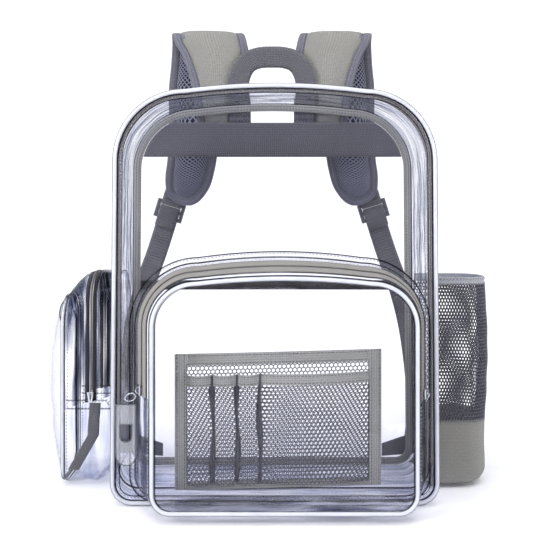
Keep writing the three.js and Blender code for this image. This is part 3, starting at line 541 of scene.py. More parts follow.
def stitches(name, rows, thread, slot="white_piping"):
    """Rows of stitches; each row is a path of points in millimetres and the way out of the cloth,
    which is one direction or a function of the point."""
    sizes = bpy.context.scene.clear_bag_sizes
    pitch = sizes.stitch / MM
    places = []
    for path, out in rows:
        for spot, along in spaced(path, pitch, pitch / 2):
            normal = out(spot) if callable(out) else out
            places.append((spot + normal * 0.15, along, normal))
    return finish(repeat(name, grain(pitch * 0.74, 0.75, 0.5), places), thread, slot)


# Materials

def linear(code):
    """An sRGB hex colour in linear light."""
    out = []
    for i in (1, 3, 5):
        value = int(code[i:i + 2], 16) / 255
        out.append(value / 12.92 if value <= 0.04045 else ((value + 0.055) / 1.055) ** 2.4)
    return (*out, 1.0)


def node(tree, kind, inputs=None, stops=(), **settings):
    """Adds a node, sets its settings and its ramp's stops, and sets or links its inputs. A node
    given for an input stands for its first output, and a hex colour is turned to linear light."""
    made = tree.nodes.new("ShaderNode" + kind)
    for name, value in settings.items():
        setattr(made, name, value)
    for i, (place, colour) in enumerate(stops):
        elements = made.color_ramp.elements
        element = elements[i] if i < 2 else elements.new(place)
        element.position = place
        element.color = linear(colour) if isinstance(colour, str) else (*colour[:3], 1.0)
    for socket, value in (inputs or {}).items():
        if isinstance(value, bpy.types.Node):
            value = value.outputs[0]
        if isinstance(value, bpy.types.NodeSocket):
            tree.links.new(value, made.inputs[socket])
        else:
            made.inputs[socket].default_value = linear(value) if isinstance(value, str) else value
    return made


def blank(name):
    material = bpy.data.materials.new(name)
    material.use_nodes = True
    material.node_tree.nodes.clear()
    return material, material.node_tree


def output(tree, shader):
    node(tree, "OutputMaterial", {"Surface": shader})


def glint(tree, facing, least, most):
    """How much of the light a thin clear wall mirrors, from face on to edge on."""
    steep = node(tree, "Math", {0: facing, 1: 5.0}, operation="POWER")
    return node(tree, "Math", {0: steep, 1: most - least, 2: least},
                operation="MULTIPLY_ADD")


def clear_vinyl(name="calendered_clear_vinyl", streaks=0.0, fold_shade="#ffffff"):
    """Calendered soft PVC film: glass-clear face on, it thickens to a cool grey where it is seen
    on edge, its slow unevenness breaks lamps into wavy streaks, and its cut edges are grey lines of painted
    shade.
    Streaks bend the film more across than along, as in a wall pulled tight along its seams, and
    the fold shade is painted shade along the streaks, darkening what is seen through them."""
    colours = bpy.context.scene.clear_bag_colours
    material, tree = blank(name)
    place = node(tree, "TexCoord").outputs["Object"]
    slow = node(tree, "TexNoise", {"Vector": place, "Scale": 17.0, "Detail": 2.0, "Distortion": 0.6})
    fine = node(tree, "TexNoise", {"Vector": place, "Scale": 62.0, "Detail": 1.0})
    uv = node(tree, "TexCoord").outputs["UV"]
    drawn = node(tree, "Mapping", {"Vector": uv, "Scale": (1 / 16, 1 / 120, 1.0)})
    lengthwise = node(tree, "TexNoise", {"Vector": drawn, "Scale": 1.0, "Detail": 2.5})
    pulled = node(tree, "Bump", {"Height": lengthwise, "Strength": streaks, "Distance": 0.006})
    uneven = node(tree, "Bump", {"Height": slow, "Strength": 0.4, "Distance": 0.006, "Normal": pulled})
    wavy = node(tree, "Bump", {"Height": fine, "Strength": 0.12, "Distance": 0.0012, "Normal": uneven})
    edge = node(tree, "LayerWeight", {"Blend": 0.5, "Normal": uneven})
    tint = node(tree, "ValToRGB", {"Fac": edge.outputs["Facing"]}, (
        (0.0, "#fefeff"), (0.55, "#fafafd"), (0.84, "#f1f2f6"), (1.0, "#a9acb7"),
    ))
    # Painted shade: a grey line along the film's cut edges, drawn from the rim value
    rim = node(tree, "Attribute", attribute_name="rim")
    painted_edge_shade = node(tree, "ValToRGB", {"Fac": rim.outputs["Fac"]},
               ((0.0, "#6f727d"), (0.5, "#8d909b"), (1.0, "#ffffff")))
    seen = node(tree, "Mix", {"Factor": 1.0, 6: tint, 7: painted_edge_shade}, data_type="RGBA", blend_type="MULTIPLY")
    # Painted shade: the lengthwise streaks darken what is seen through the film, for the shade of its folds
    painted_fold_shade = node(tree, "ValToRGB", {"Fac": lengthwise}, ((0.38, fold_shade), (0.56, "#ffffff")))
    shaded_through = node(tree, "Mix", {"Factor": 1.0, 6: seen.outputs[2], 7: painted_fold_shade},
                  data_type="RGBA", blend_type="MULTIPLY")
    through = node(tree, "BsdfTransparent", {"Color": shaded_through.outputs[2]})
    milk = node(tree, "BsdfPrincipled",
                {"Base Color": (*colours.haze, 1.0), "Roughness": 0.35, "Normal": wavy})
    amount = node(tree, "MapRange", {
        "Value": edge.outputs["Facing"], "From Min": 0.3, "From Max": 1.0, "To Min": 0.0, "To Max": 0.06,
    })
    body = node(tree, "MixShader", {0: amount, 1: through, 2: milk})
    sheen = node(tree, "BsdfGlossy", {"Color": (1, 1, 1, 1), "Roughness": 0.11, "Normal": wavy})
    shine = glint(tree, edge.outputs["Facing"], 0.012, 0.5)
    output(tree, node(tree, "MixShader", {0: shine, 1: body, 2: sheen}))
    return material


def moulded_vinyl():
    """Thick clear PVC moulded into a pull: milkier than the film, with a bright rounded rim and a dark line
    of painted shade along its outline.
    """
    material, tree = blank("moulded_clear_vinyl")
    edge = node(tree, "LayerWeight", {"Blend": 0.5})
    tint = node(tree, "ValToRGB", {"Fac": edge.outputs["Facing"]},
                ((0.0, "#fafafd"), (0.6, "#eceef5"), (1.0, "#8f94a6")))
    # Painted shade: a dark line along the pull's outline, drawn from the rim value
    rim = node(tree, "Attribute", attribute_name="rim")
    painted_edge_shade = node(tree, "ValToRGB", {"Fac": rim.outputs["Fac"]},
               ((0.0, "#2e3038"), (0.6, "#7b7e89"), (1.0, "#ffffff")))
    seen = node(tree, "Mix", {"Factor": 1.0, 6: tint, 7: painted_edge_shade}, data_type="RGBA", blend_type="MULTIPLY")
    through = node(tree, "BsdfTransparent", {"Color": seen.outputs[2]})
    milk = node(tree, "BsdfPrincipled", {"Base Color": "#eef0f5", "Roughness": 0.22})
    body = node(tree, "MixShader", {0: 0.12, 1: through, 2: milk})
    sheen = node(tree, "BsdfGlossy", {"Color": (1, 1, 1, 1), "Roughness": 0.08})
    shine = glint(tree, edge.outputs["Facing"], 0.05, 0.8)
    output(tree, node(tree, "MixShader", {0: shine, 1: body, 2: sheen}))
    return material


def piping_vinyl():
    """Extruded clear vinyl over a white cord: silver-white face on with a hard, wet gloss, and a
    thin grey line of painted shade along both edges, for the sleeve seen through its thickness."""
    colours = bpy.context.scene.clear_bag_colours
    material, tree = blank("extruded_piping_vinyl")
    place = node(tree, "TexCoord").outputs["Object"]
    uneven = node(tree, "TexNoise", {"Vector": place, "Scale": 90.0, "Detail": 2.0})
    bump = node(tree, "Bump", {"Height": uneven, "Strength": 0.2, "Distance": 0.001})
    edge = node(tree, "LayerWeight", {"Blend": 0.5})
    # Painted shade: the base colour turns grey where the tube is seen edge on
    tone = node(tree, "ValToRGB", {"Fac": edge.outputs["Facing"]},
                ((0.14, colours.piping), (0.34, "#a0a3ad"), (0.56, "#4b4d57")))
    patchy = node(tree, "MapRange", {"Value": uneven, "To Min": 0.85, "To Max": 1.1})
    toned = node(tree, "Mix", {"Factor": 1.0, 6: tone, 7: patchy},
                 data_type="RGBA", blend_type="MULTIPLY")
    shader = node(tree, "BsdfPrincipled", {
        "Base Color": toned.outputs[2], "Roughness": 0.22, "IOR": 1.52, "Coat Weight": 0.6,
        "Coat Roughness": 0.05, "Normal": bump,
    })
    output(tree, shader)
    return material


def woven(name, colour, warp, weft, depth, hollow_shade=0.55, roughness=0.82, sheen=0.25, fleck=0.12):
    """Woven cloth on the piece's own UV map in millimetres: warp and weft threads pass over and
    under each other at their own spacing, painted shade darkens the low threads, and the yarn's tone varies a
    little along it."""
    material, tree = blank(name)
    uv = node(tree, "TexCoord").outputs["UV"]
    cells = node(tree, "Mapping", {"Vector": uv, "Scale": (1 / warp, 1 / weft, 1.0)})
    checks = node(tree, "TexChecker", {"Vector": cells, "Scale": 1.0})
    up = node(tree, "TexWave", {"Vector": uv, "Scale": math.pi / (10 * warp)}, bands_direction="X")
    over = node(tree, "TexWave", {"Vector": uv, "Scale": math.pi / (10 * weft)}, bands_direction="Y")
    height = node(tree, "Mix", {
        "Factor": checks.outputs["Fac"], 2: up.outputs["Fac"], 3: over.outputs["Fac"],
    }, data_type="FLOAT")
    flecks = node(tree, "TexNoise", {"Vector": uv, "Scale": 0.55, "Detail": 3.0})
    shade = node(tree, "MapRange", {
        "Value": flecks, "From Min": 0.3, "From Max": 0.7, "To Min": 1 - fleck, "To Max": 1 + fleck,
    })
    # Painted shade: the low threads of the weave take a darker copy of the colour
    dark = tuple(c * hollow_shade for c in colour[:3])
    tone = node(tree, "ValToRGB", {"Fac": height}, ((0.05, dark), (0.75, colour)))
    toned = node(tree, "Mix", {"Factor": 1.0, 6: tone, 7: shade},
                 data_type="RGBA", blend_type="MULTIPLY")
    bump = node(tree, "Bump", {"Height": height, "Strength": 0.8, "Distance": depth * MM})
    shader = node(tree, "BsdfPrincipled", {
        "Base Color": toned.outputs[2], "Roughness": roughness, "Sheen Weight": sheen,
        "Sheen Roughness": 0.5,
        "Normal": bump,
    })
    output(tree, shader)
    return material


def spacer_mesh():
    """Knitted spacer mesh over foam: a lighter diagonal honeycomb, with painted shade darkening its round
    holes.
    """
    colours = bpy.context.scene.clear_bag_colours
    material, tree = blank("knitted_spacer_mesh")
    uv = node(tree, "TexCoord").outputs["UV"]
    # Real cells are 2 mm apart; 3.6 mm is the finest that shows from the front
    turned = node(tree, "Mapping", {
        "Vector": uv, "Rotation": (0, 0, math.radians(45)), "Scale": (1 / 3.6, 1 / 3.6, 1.0),
    })
    cells = node(tree, "TexVoronoi", {"Vector": turned, "Scale": 1.0, "Randomness": 0.12},
                 feature="DISTANCE_TO_EDGE")
    # Painted shade: the cells darken to near black towards their middles, the holes
    tone = node(tree, "ValToRGB", {"Fac": cells.outputs["Distance"]}, (
        (0.0, "#a3a5b3"), (0.10, "#6f7182"), (0.2, colours.mesh), (0.4, "#14151e"),
    ))
    bump = node(tree, "Bump", {"Height": cells.outputs["Distance"], "Strength": 0.9, "Distance": 0.0012},
                invert=True)
    shader = node(tree, "BsdfPrincipled",
                  {"Base Color": tone, "Roughness": 0.9, "Sheen Weight": 0.3, "Normal": bump})
    output(tree, shader)
    return material


def yarn(name, colour, roughness=0.75):
    """Polyester yarn or thread, with the soft sheen of its filaments."""
    material, tree = blank(name)
    place = node(tree, "TexCoord").outputs["Object"]
    uneven = node(tree, "TexNoise", {"Vector": place, "Scale": 800.0, "Detail": 2.0})
    tone = node(tree, "ValToRGB", {"Fac": uneven}, ((0.35, [0.75 * c for c in colour[:3]]), (0.65, colour)))
    shader = node(tree, "BsdfPrincipled", {"Base Color": tone, "Roughness": roughness, "Sheen Weight": 0.3})
    output(tree, shader)
    return material


def nylon_coil(name, colour):
    """Drawn nylon zip teeth: smooth and a little shiny, each catching one small light."""
    material, tree = blank(name)
    place = node(tree, "TexCoord").outputs["Object"]
    uneven = node(tree, "TexNoise", {"Vector": place, "Scale": 500.0})
    tone = node(tree, "ValToRGB", {"Fac": uneven}, ((0.3, [0.8 * c for c in colour[:3]]), (0.7, colour)))
    shader = node(tree, "BsdfPrincipled", {"Base Color": tone, "Roughness": 0.32})
    output(tree, shader)
    return material


def nickel_plate():
    """Bright nickel over die-cast zinc: a clean mirror with slight orange peel from the casting."""
    material, tree = blank("nickel_plated_zinc")
    place = node(tree, "TexCoord").outputs["Object"]
    peel = node(tree, "TexNoise", {"Vector": place, "Scale": 700.0, "Detail": 1.0})
    bump = node(tree, "Bump", {"Height": peel, "Strength": 0.15, "Distance": 0.0002})
    rough = node(tree, "MapRange", {"Value": peel, "To Min": 0.12, "To Max": 0.26})
    shader = node(tree, "BsdfPrincipled", {
        "Base Color": "#c3c5cb", "Metallic": 1.0, "Roughness": rough,
        "Normal": bump,
    })
    output(tree, shader)
    return material


def moulded_acetal():
    """Injection-moulded acetal with a fine spark texture: satin, slightly translucent edges."""
    material, tree = blank("moulded_acetal")
    place = node(tree, "TexCoord").outputs["Object"]
    spark = node(tree, "TexNoise", {"Vector": place, "Scale": 1500.0, "Detail": 2.0})
    bump = node(tree, "Bump", {"Height": spark, "Strength": 0.3, "Distance": 0.0001})
    tone = node(tree, "ValToRGB", {"Fac": spark}, ((0.3, "#45464f"), (0.7, "#5a5b64")))
    shader = node(tree, "BsdfPrincipled", {"Base Color": tone, "Roughness": 0.45, "Normal": bump})
    output(tree, shader)
    return material


def studio_floor():
    """Matt white vinyl sweep of a product studio: it holds the bag's soft shadow, and away from
    the bag it is lit up to the white of the cove."""
    material, tree = blank("matt_white_sweep")
    place = node(tree, "TexCoord").outputs["Object"]
    grainy = node(tree, "TexNoise", {"Vector": place, "Scale": 40.0, "Detail": 2.0})
    tone = node(tree, "ValToRGB", {"Fac": grainy}, ((0.0, "#f4f4f7"), (1.0, "#fbfbfd")))
    shader = node(tree, "BsdfPrincipled", {
        "Base Color": tone, "Roughness": 0.9, "Emission Color": (1, 1, 1, 1), "Emission Strength": 0.05,
    })
    lit = node(tree, "Emission", {"Color": (1, 1, 1, 1), "Strength": 1.05})
    centre = node(tree, "VectorMath", {0: place, 1: (0.0, 0.0, 0.0)}, operation="DISTANCE")
    fade = node(tree, "MapRange", {
        "Value": centre.outputs["Value"], "From Min": 0.3, "From Max": 0.75,
    }, interpolation_type="SMOOTHSTEP")
    output(tree, node(tree, "MixShader", {0: fade, 1: shader, 2: lit}))
    return material


def finishes():
    """Each finish by its short name, made once."""
    colours = bpy.context.scene.clear_bag_colours
    slate = (*colours.webbing, 1.0)
    binding = (*colours.binding, 1.0)
    cloth = (*colours.cloth, 1.0)
    taupe = (*colours.taupe, 1.0)
    black = linear("#201e27")
    # Real cloth threads are 0.4 to 0.6 mm apart; they are drawn at about twice that to show
    return {
        "film": clear_vinyl,
        # Both wall finishes paint shade along their lengthwise streaks, the second much darker
        "wall": lambda: clear_vinyl("calendered_wall_vinyl", streaks=0.8, fold_shade="#eceef4"),
        "fold_shaded": lambda: clear_vinyl("fold_shaded_wall_vinyl", streaks=1.0, fold_shade="#9a9fb0"),
        "pull": moulded_vinyl,
        "piping": piping_vinyl,
        "webbing": lambda: woven("woven_slate_webbing", slate, 2.0, 2.4, 0.6, hollow_shade=0.42, fleck=0.12),
        "black_webbing": lambda: woven("woven_black_webbing", black, 2.2, 2.8, 0.5),
        "binding": lambda: woven("grosgrain_binding", binding, 2.6, 2.0, 0.4, hollow_shade=0.6),
        "pale_binding": lambda: woven("pale_binding_tape", linear("#aeb0b7"), 2.4, 1.8, 0.4, hollow_shade=0.62),
        "taupe_binding": lambda: woven("taupe_binding_tape", taupe, 2.4, 1.8, 0.4, hollow_shade=0.62),
        "taupe": lambda: woven("taupe_plain_cloth", taupe, 1.2, 1.2, 0.25, hollow_shade=0.7),
        # A dark strip, partly the gathered net and partly painted shade in the net's folds
        "fold": lambda: woven("gathered_net_painted_shade", linear("#4b4c57"), 1.4, 1.4, 0.4, hollow_shade=0.5),
        "oxford": lambda: woven("oxford_polyester", cloth, 1.5, 1.5, 0.35, hollow_shade=0.66, fleck=0.12),
        "grey_tape": lambda: woven("herringbone_zip_tape", linear("#8f8c88"), 1.6, 0.9, 0.25, hollow_shade=0.7),
        "black_tape": lambda: woven("black_zip_tape", linear("#26252b"), 1.6, 0.9, 0.25, hollow_shade=0.7),
        "black_coil": lambda: nylon_coil("black_nylon_coil", linear("#1f1e22")),
        "grey_coil": lambda: nylon_coil("grey_nylon_coil", linear("#77757a")),
        "spacer": spacer_mesh,
        "net": lambda: yarn("knitted_net_yarn", (*colours.net, 1.0)),
        "pale_thread": lambda: yarn("pale_sewing_thread", linear("#b9bcc6")),
        "grey_thread": lambda: yarn("grey_sewing_thread", linear("#6e6e78")),
        "dark_thread": lambda: yarn("dark_sewing_thread", linear("#3a3a44")),
        "nickel": nickel_plate,
        "acetal": moulded_acetal,
        "floor": studio_floor,
    }


MADE = {}


def material(name):
    if name not in MADE:
        MADE[name] = finishes()[name]()
    return MADE[name]


# Shared forms

def strip(name, outline, point_at, start, end, outs, finish_name, slot, nodes, steps, rows=4, thickness=FILM,
          uneven=0.0, closed=False):
    """A strip of wall between two stations of an outline; point_at takes a station and an out share,
    and the strip's middle may wander by uneven millimetres."""
    even, length = outline.even(start, end, steps)
    wide = (point_at(start, outs[0]) - point_at(start, outs[-1])).length
    seed = 0.37 * len(name)

    def place(u, v):
        station = even[round(v * steps)]
        out = mix(outs[0], outs[-1], u)
        spot = point_at(station, out)
        if not uneven:
            return spot
        away = (point_at(station + 0.03, out) - point_at(station - 0.03, out)).cross(
            point_at(station, out + 0.01) - point_at(station, out - 0.01)).normalized()
        fade = math.sin(math.pi * u) ** 0.7
        if not closed:
            fade *= min(1.0, 12 * v, 12 * (1 - v))
        return spot + away * fade * uneven * (ripple(spot, 34, seed) + 0.5 * ripple(spot, 13, seed))

    return cloth(name, rows, steps, place, (wide, length), thickness, finish_name, slot, nodes, closed)


def tube(name, outline, radius, place, finish_name, slot, nodes, steps=260, sides=12):
    """A round piping along a closed outline; place puts a flat point and a rise in space."""
    even, length = outline.even(0, 10, steps)

    def on_tube(u, v):
        station = even[round(v * steps) % steps]
        a, z = outline.at(station)
        away_a, away_z = outline.away(station)
        angle = 2 * math.pi * u
        out = radius * math.cos(angle)
        return place(a + away_a * out, z + away_z * out, radius * math.sin(angle))

    piece = lay(name, sides, steps, on_tube, (2 * math.pi * radius, length), closed=True)
    return finish(piece, finish_name, slot, nodes)


def panel(name, outline, place, nodes, steps=(44, 84)):
    """A film panel inside an outline; place puts a flat point in space. Rows lie closer at the
    foot and the top, where the corners turn."""
    def on_panel(u, v):
        share = (1 - math.cos(math.pi * v)) / 2
        level = mix(outline.foot, outline.top, share)
        half = outline.half_at(level)
        a = (2 * u - 1) * half
        flat = max(1 - (a / max(outline.half - outline.top_corner, 1e-6)) ** 2, 0)
        return place(outline.centre + a, level + outline.crown * flat * share**3, a / outline.half)

    size = (2 * outline.half, outline.top - outline.foot)
    return cloth(name, *steps, on_panel, size, FILM, "film", "clear_film", nodes)


def teeth(name, path, out, finish_name, slot, nodes, length=COIL, pitch=1.55):
    """A closed zip coil: one tooth after another across the path."""
    places = [(spot, along.cross(out(spot)), out(spot)) for spot, along in spaced(path, pitch)]
    return finish(repeat(name, grain(length, pitch * 0.92, 2.3), places), finish_name, slot, nodes)


def ribbon(name, route, width, thickness, finish_name, slot, nodes, steps):
    """Flat webbing along a route of (centre, across) pairs, smoothed between them."""
    rows = [(*centre, *across) for centre, across in route]
    spots = [smooth(rows, t * (len(rows) - 1) / steps) for t in range(steps + 1)]
    length = sum(math.dist(a[:3], b[:3]) for a, b in zip(spots, spots[1:]))

    def place(u, v):
        row = spots[round(v * steps)]
        return Vector(row[:3]) + Vector(row[3:]).normalized() * (u - 0.5) * width

    return cloth(name, 6, steps, place, (width, length), thickness, finish_name, slot, nodes)


def hexagons(name, width, length, pitch, place, thread, nodes):
    """An open net: hexagon cells over a width and length in millimetres, laid by place and drawn
    as threads."""
    rise = pitch * math.sqrt(3) / 2
    radius = pitch / math.sqrt(3)
    vertices = []
    index = {}
    faces = []
    for j in range(int(length / rise) + 1):
        for i in range(int(width / pitch) + 1):
            x = (i + 0.5 * (j % 2)) * pitch
            y = j * rise
            face = []
            for k in range(6):
                turn = math.radians(60 * k + 30)
                corner = (x + radius * math.cos(turn), y + radius * math.sin(turn))
                key = (round(corner[0] * 20), round(corner[1] * 20))
                if key not in index:
                    index[key] = len(vertices)
                    u = min(max(corner[0] / width, 0), 1)
                    v = min(max(corner[1] / length, 0), 1)
                    vertices.append(Vector(place(u, v)) * MM)
                face.append(index[key])
            faces.append(face)
    mesh = bpy.data.meshes.new(name)
    mesh.from_pydata(vertices, [], faces)
    piece = bpy.data.objects.new(name, mesh)
    bpy.context.scene.collection.objects.link(piece)
    merge(piece, 2e-4)
    apply(piece, "WIREFRAME", thickness=thread * MM, use_even_offset=False, use_boundary=True)
    return finish(piece, "net", "netting", nodes)


# Main body

def wall_point(station, depth):
    a, z = body_outline(FILM / 2, depth).at(station)
    return Vector((a, depth - HALF, z))


def zip_ends():
    shape = body_outline(0, 0)
    return shape.station_at(ZIP_END_RIGHT), 10 - shape.station_at(ZIP_END_LEFT)


def main_film():
    start, end = zip_ends()
    outline = body_outline(FILM / 2, DEPTH / 2)
    strip("side_wall_film", outline, wall_point, 0, 10, (REAR_TAPE_END + GAP, WALL_BACK), "wall",
          "clear_film", ["side_gusset"], 300, rows=14, uneven=1.5, closed=True)
    strip("front_foot_film", outline, wall_point, end - 10 + 0.002, start - 0.002,
          (WALL_FRONT, REAR_TAPE_END), "wall", "clear_film", ["front_foot_gusset"], 120, rows=8, uneven=0.8)
    strip("zip_flange_film", outline, wall_point, start, end, (WALL_FRONT, FLANGE_END), "film", "clear_film",
          ["zip_flange"], 260, rows=3, uneven=0.4)
    rim = 2 * PIPING + GAP

    def on_front(a, z, across):
        inside = bow(1.0, a, z) ** 0.5
        wander = 0.5 + 0.5 * ripple((a, 0, z), 60, 3.1)
        return Vector((a, front_at(a, z) + 1.6 * inside * wander, z))

    panel("front_film", body_outline(rim, 0), on_front, ["front_panel"])
    panel("back_film", body_outline(0, DEPTH), lambda a, z, across: Vector((a, back_at(a, z), z)),
          ["back_panel"])


def main_trim():
    shape = body_outline(PIPING, 0)
    tube("front_piping_cord", shape, PIPING, lambda a, z, up: Vector((a, -HALF + PIPING + up, z)), "piping",
         "white_piping", ["front_piping"])
    even, length = shape.even(0, 10, 260)

    def seam_at(inset, stand):
        outline = body_outline(inset, 0)
        return [Vector((a, front_at(a, z) - stand, z)) for a, z in (outline.at(s) for s in even)]

    outer = seam_at(2 * PIPING + GAP, FILM / 2 + 0.35)
    inner = seam_at(2 * PIPING + GAP + 5.0, FILM / 2 + 0.35)
    cloth("front_seam_tape", 2, 260, lambda u, v: outer[round(v * 260)].lerp(inner[round(v * 260)], u),
          (5, length), 0.5, "film", "clear_film", joined=True)
    row = [a.lerp(b, 0.6) + Vector((0, -0.3, 0)) for a, b in zip(outer, inner)]
    stitches("front_seam_stitches", [(row, Vector((0, -1, 0)))], "grey_thread")

    edge = body_outline(FILM + GAP, DEPTH)
    within = body_outline(FILM + GAP + BINDING, DEPTH)

    def on_binding(u, v):
        station = even[round(v * 260) % 260]
        a0, z0 = edge.at(station)
        a1, z1 = within.at(station)
        a = mix(a0, a1, u)
        z = mix(z0, z1, u)
        return Vector((a, back_at(a, z) - FILM / 2 - GAP - CLOTH / 2 - 0.4 * math.sin(math.pi * u), z))

    cloth("back_seam_binding", 5, 260, on_binding, (BINDING, length), CLOTH, "taupe_binding",
          "slate_binding", ["back_binding"], joined=True)
    rows = [[on_binding(u, v / 260) for v in range(261)] for u in (0.3, 0.72)]
    forward = Vector((0, -1, 0))
    stitches("back_seam_stitches", [([p + forward * CLOTH / 2 for p in row], forward) for row in rows],
             "dark_thread", "slate_binding")


def main_zip():
    start, end = zip_ends()
    outline = body_outline(FILM / 2, DEPTH / 2)
    for name, node_name, outs in (
        ("main_tape_front", "main_zip_tape_front", (FLANGE_END + GAP, FRONT_TAPE_END)),
        ("main_tape_rear", "main_zip_tape_rear", (COIL_END + GAP, REAR_TAPE_END)),
    ):
        strip(name, outline, wall_point, start, end, outs, "grey_tape", "grey_tape", [node_name], 260,
              rows=4, thickness=TAPE)
    middle = (FRONT_TAPE_END + COIL_END + GAP) / 2
    even, _ = outline.even(start, end, 400)
    path = [wall_point(station, middle) for station in even]

    def out_of(spot):
        return Vector((spot.x, 0, spot.z - HEIGHT / 2)).normalized()

    teeth("main_teeth", path, out_of, "black_coil", "black_zip", ["main_zip_coil"])
    rows = []
    for depth in (FLANGE_END + GAP + 2.5, REAR_TAPE_END - 2.5):
        rows.append(sewn(wall_point, depth, even, out_of, 0.7))
    stitches("main_zip_stitches", rows, "grey_thread", "grey_tape")


def bands():
    for name, node_name, finish_name, slot in (
        ("back_webbing", "back_band", "webbing", "slate_webbing"),
        ("cross_webbing", "cross_band", "black_webbing", "black_webbing"),
    ):
        foot = low(node_name, 2)
        top = high(node_name, 2)
        edge = body_outline(FILM + GAP + BINDING + LAY, DEPTH)

        def place(u, v):
            z = mix(foot, top, v)
            a = (2 * u - 1) * edge.half_at(z)
            return Vector((a, back_at(a, z) - FILM / 2 - LAY - WEBBING / 2, z))

        width = high(node_name, 0) - low(node_name, 0)
        cloth(name, 70, 12, place, (width, top - foot), WEBBING, finish_name, slot, [node_name], turned=True)


# Front pocket

def pocket_zip_stops():
    share = 1 / POCKET_STAND
    gap = GAP * share
    flange = POCKET_FLANGE * share
    rear = flange + gap + POCKET_TAPE * share
    coil = rear + gap + COIL * share
    front = coil + gap + POCKET_TAPE * share
    return gap, flange, rear, coil, front


def pocket_ends():
    shape = pocket_outline(0.5)
    return shape.station_at(POCKET_END_RIGHT), 10 - shape.station_at(POCKET_END_LEFT)


def pocket_out(spot):
    return Vector((spot.x - 6.0, 0, spot.z - 125.0)).normalized()


def front_pocket():
    gap, flange, rear, coil, front = pocket_zip_stops()
    start, end = pocket_ends()
    middle = pocket_outline(0.5)
    plane = -HALF - POCKET_STAND - POCKET_PIPING
    tube("pocket_piping_cord", pocket_outline(1, POCKET_PIPING), POCKET_PIPING,
         lambda a, z, up: Vector((a, plane + up, z)), "piping", "white_piping", ["pocket_piping"])
    face = pocket_outline(1, 2 * POCKET_PIPING + GAP)
    centre = (face.foot + face.top) / 2
    tall = (face.top - face.foot) / 2

    def on_face(a, z, across):
        wide = max(1 - ((a - face.centre) / face.half) ** 2, 0)
        along = max(1 - ((z - centre) / tall) ** 2, 0)
        rise = POCKET_BULGE * (wide * along) ** 0.75
        slack = (wide * along) ** 0.4
        sag = 2.2 * slack * ripple((a, 0, z), 48, 7.7)
        # A soft fold crosses the face from its left side down to the right
        off = z - 104 + 0.2 * a + 5 * math.sin(a / 34)
        fold = 4.6 * math.exp(-((off / 13) ** 2)) - 2.6 * math.exp(-(((off + 25) / 13) ** 2))
        return Vector((a, plane - rise + sag - slack * fold, z))

    panel("pocket_face_film", face, on_face, ["pocket_face"])
    strip("pocket_flange_film", middle, pocket_point, start, end, (0, flange), "film", "clear_film",
          ["pocket_flange"], 180, rows=4, uneven=0.3)
    strip("pocket_lip_film", middle, pocket_point, start, end, (front + gap, 1 - gap), "film", "clear_film",
          ["pocket_lip"], 180, rows=3, uneven=0.3)
    strip("pocket_gusset_film", middle, pocket_point, end - 10 + 0.003, start - 0.003, (0, 1 - gap),
          "fold_shaded", "clear_film", ["pocket_gusset"], 160, rows=14, uneven=1.6)
    for name, node_name, outs in (
        ("pocket_tape_rear", "pocket_zip_tape_rear", (flange + gap, rear)),
        ("pocket_tape_front", "pocket_zip_tape_front", (coil + gap, front)),
    ):
        strip(name, middle, pocket_point, start, end, outs, "grey_tape", "grey_tape", [node_name], 180,
              rows=4, thickness=TAPE)
    even, _ = middle.even(start, end, 260)
    chain = (rear + coil + gap) / 2
    teeth("pocket_teeth", [pocket_point(s, chain) for s in even], pocket_out, "black_coil", "black_zip",
          ["pocket_zip_coil"])

    # Seam allowance of the pocket on the panel, and the stitches along it, along the zip and on the gusset
    around, length = pocket_outline(0, -2).even(0, 10, 240)

    def on_seam(u, v):
        a, z = pocket_outline(0, -mix(-0.5, POCKET_SEAM + 2.0, u)).at(around[round(v * 240) % 240])
        return Vector((a, pocket_base_at(a, z) + 0.1, z))

    cloth("pocket_seam_tape", 3, 240, on_seam, (POCKET_SEAM, length), 0.7, "film", "clear_film", joined=True)
    ahead = Vector((0, -1, 0))
    rows = [([on_seam(0.65, v / 240) + ahead * 0.5 for v in range(241)], ahead)]
    for out in (flange - 2.2 / POCKET_STAND, front + 2.4 / POCKET_STAND):
        rows.append(sewn(pocket_point, out, even, pocket_out))
    stitches("pocket_stitches", rows, "dark_thread")
    low_even, _ = middle.even(end - 10, start, 200)
    stitches("pocket_gusset_stitches", [sewn(pocket_point, 0.955, low_even, pocket_out, 0.9)], "pale_thread")


def slider(name, node_name, centre, out, up):
    """A zip slider on its chain: one body narrowed at one end, and a bridge over it."""
    across = up.cross(out).normalized()
    turned = Matrix((across, up, out)).transposed().to_4x4()
    turned.translation = Vector(centre) * MM
    bpy.ops.object.select_all(action="DESELECT")
    bpy.ops.mesh.primitive_cube_add(size=1)
    body = bpy.context.object
    bpy.ops.transform.resize(value=(7.6 * MM, 10.4 * MM, 2.0 * MM))
    bpy.ops.object.transform_apply(location=False, rotation=False, scale=True)
    for vertex in body.data.vertices:
        if vertex.co.y < 0:
            vertex.co.x *= 0.62
    apply(body, "BEVEL", width=0.7 * MM, segments=3)
    bpy.ops.object.select_all(action="DESELECT")
    bpy.ops.mesh.primitive_torus_add(
        major_radius=3.0 * MM, minor_radius=0.7 * MM, major_segments=24, minor_segments=8,
        rotation=(0, math.pi / 2, 0), location=(0, 0, 0.6 * MM),
    )
    bridge = bpy.context.object
    bpy.ops.object.transform_apply(location=True, rotation=True, scale=True)
    bpy.ops.object.select_all(action="DESELECT")
    body.select_set(True)
    bridge.select_set(True)
    bpy.context.view_layer.objects.active = body
    bpy.ops.object.join()
    body.name = name
    body.data.name = name
    body.data.transform(turned)
    return finish(body, "nickel", "steel", [node_name], smooth_angle=40)


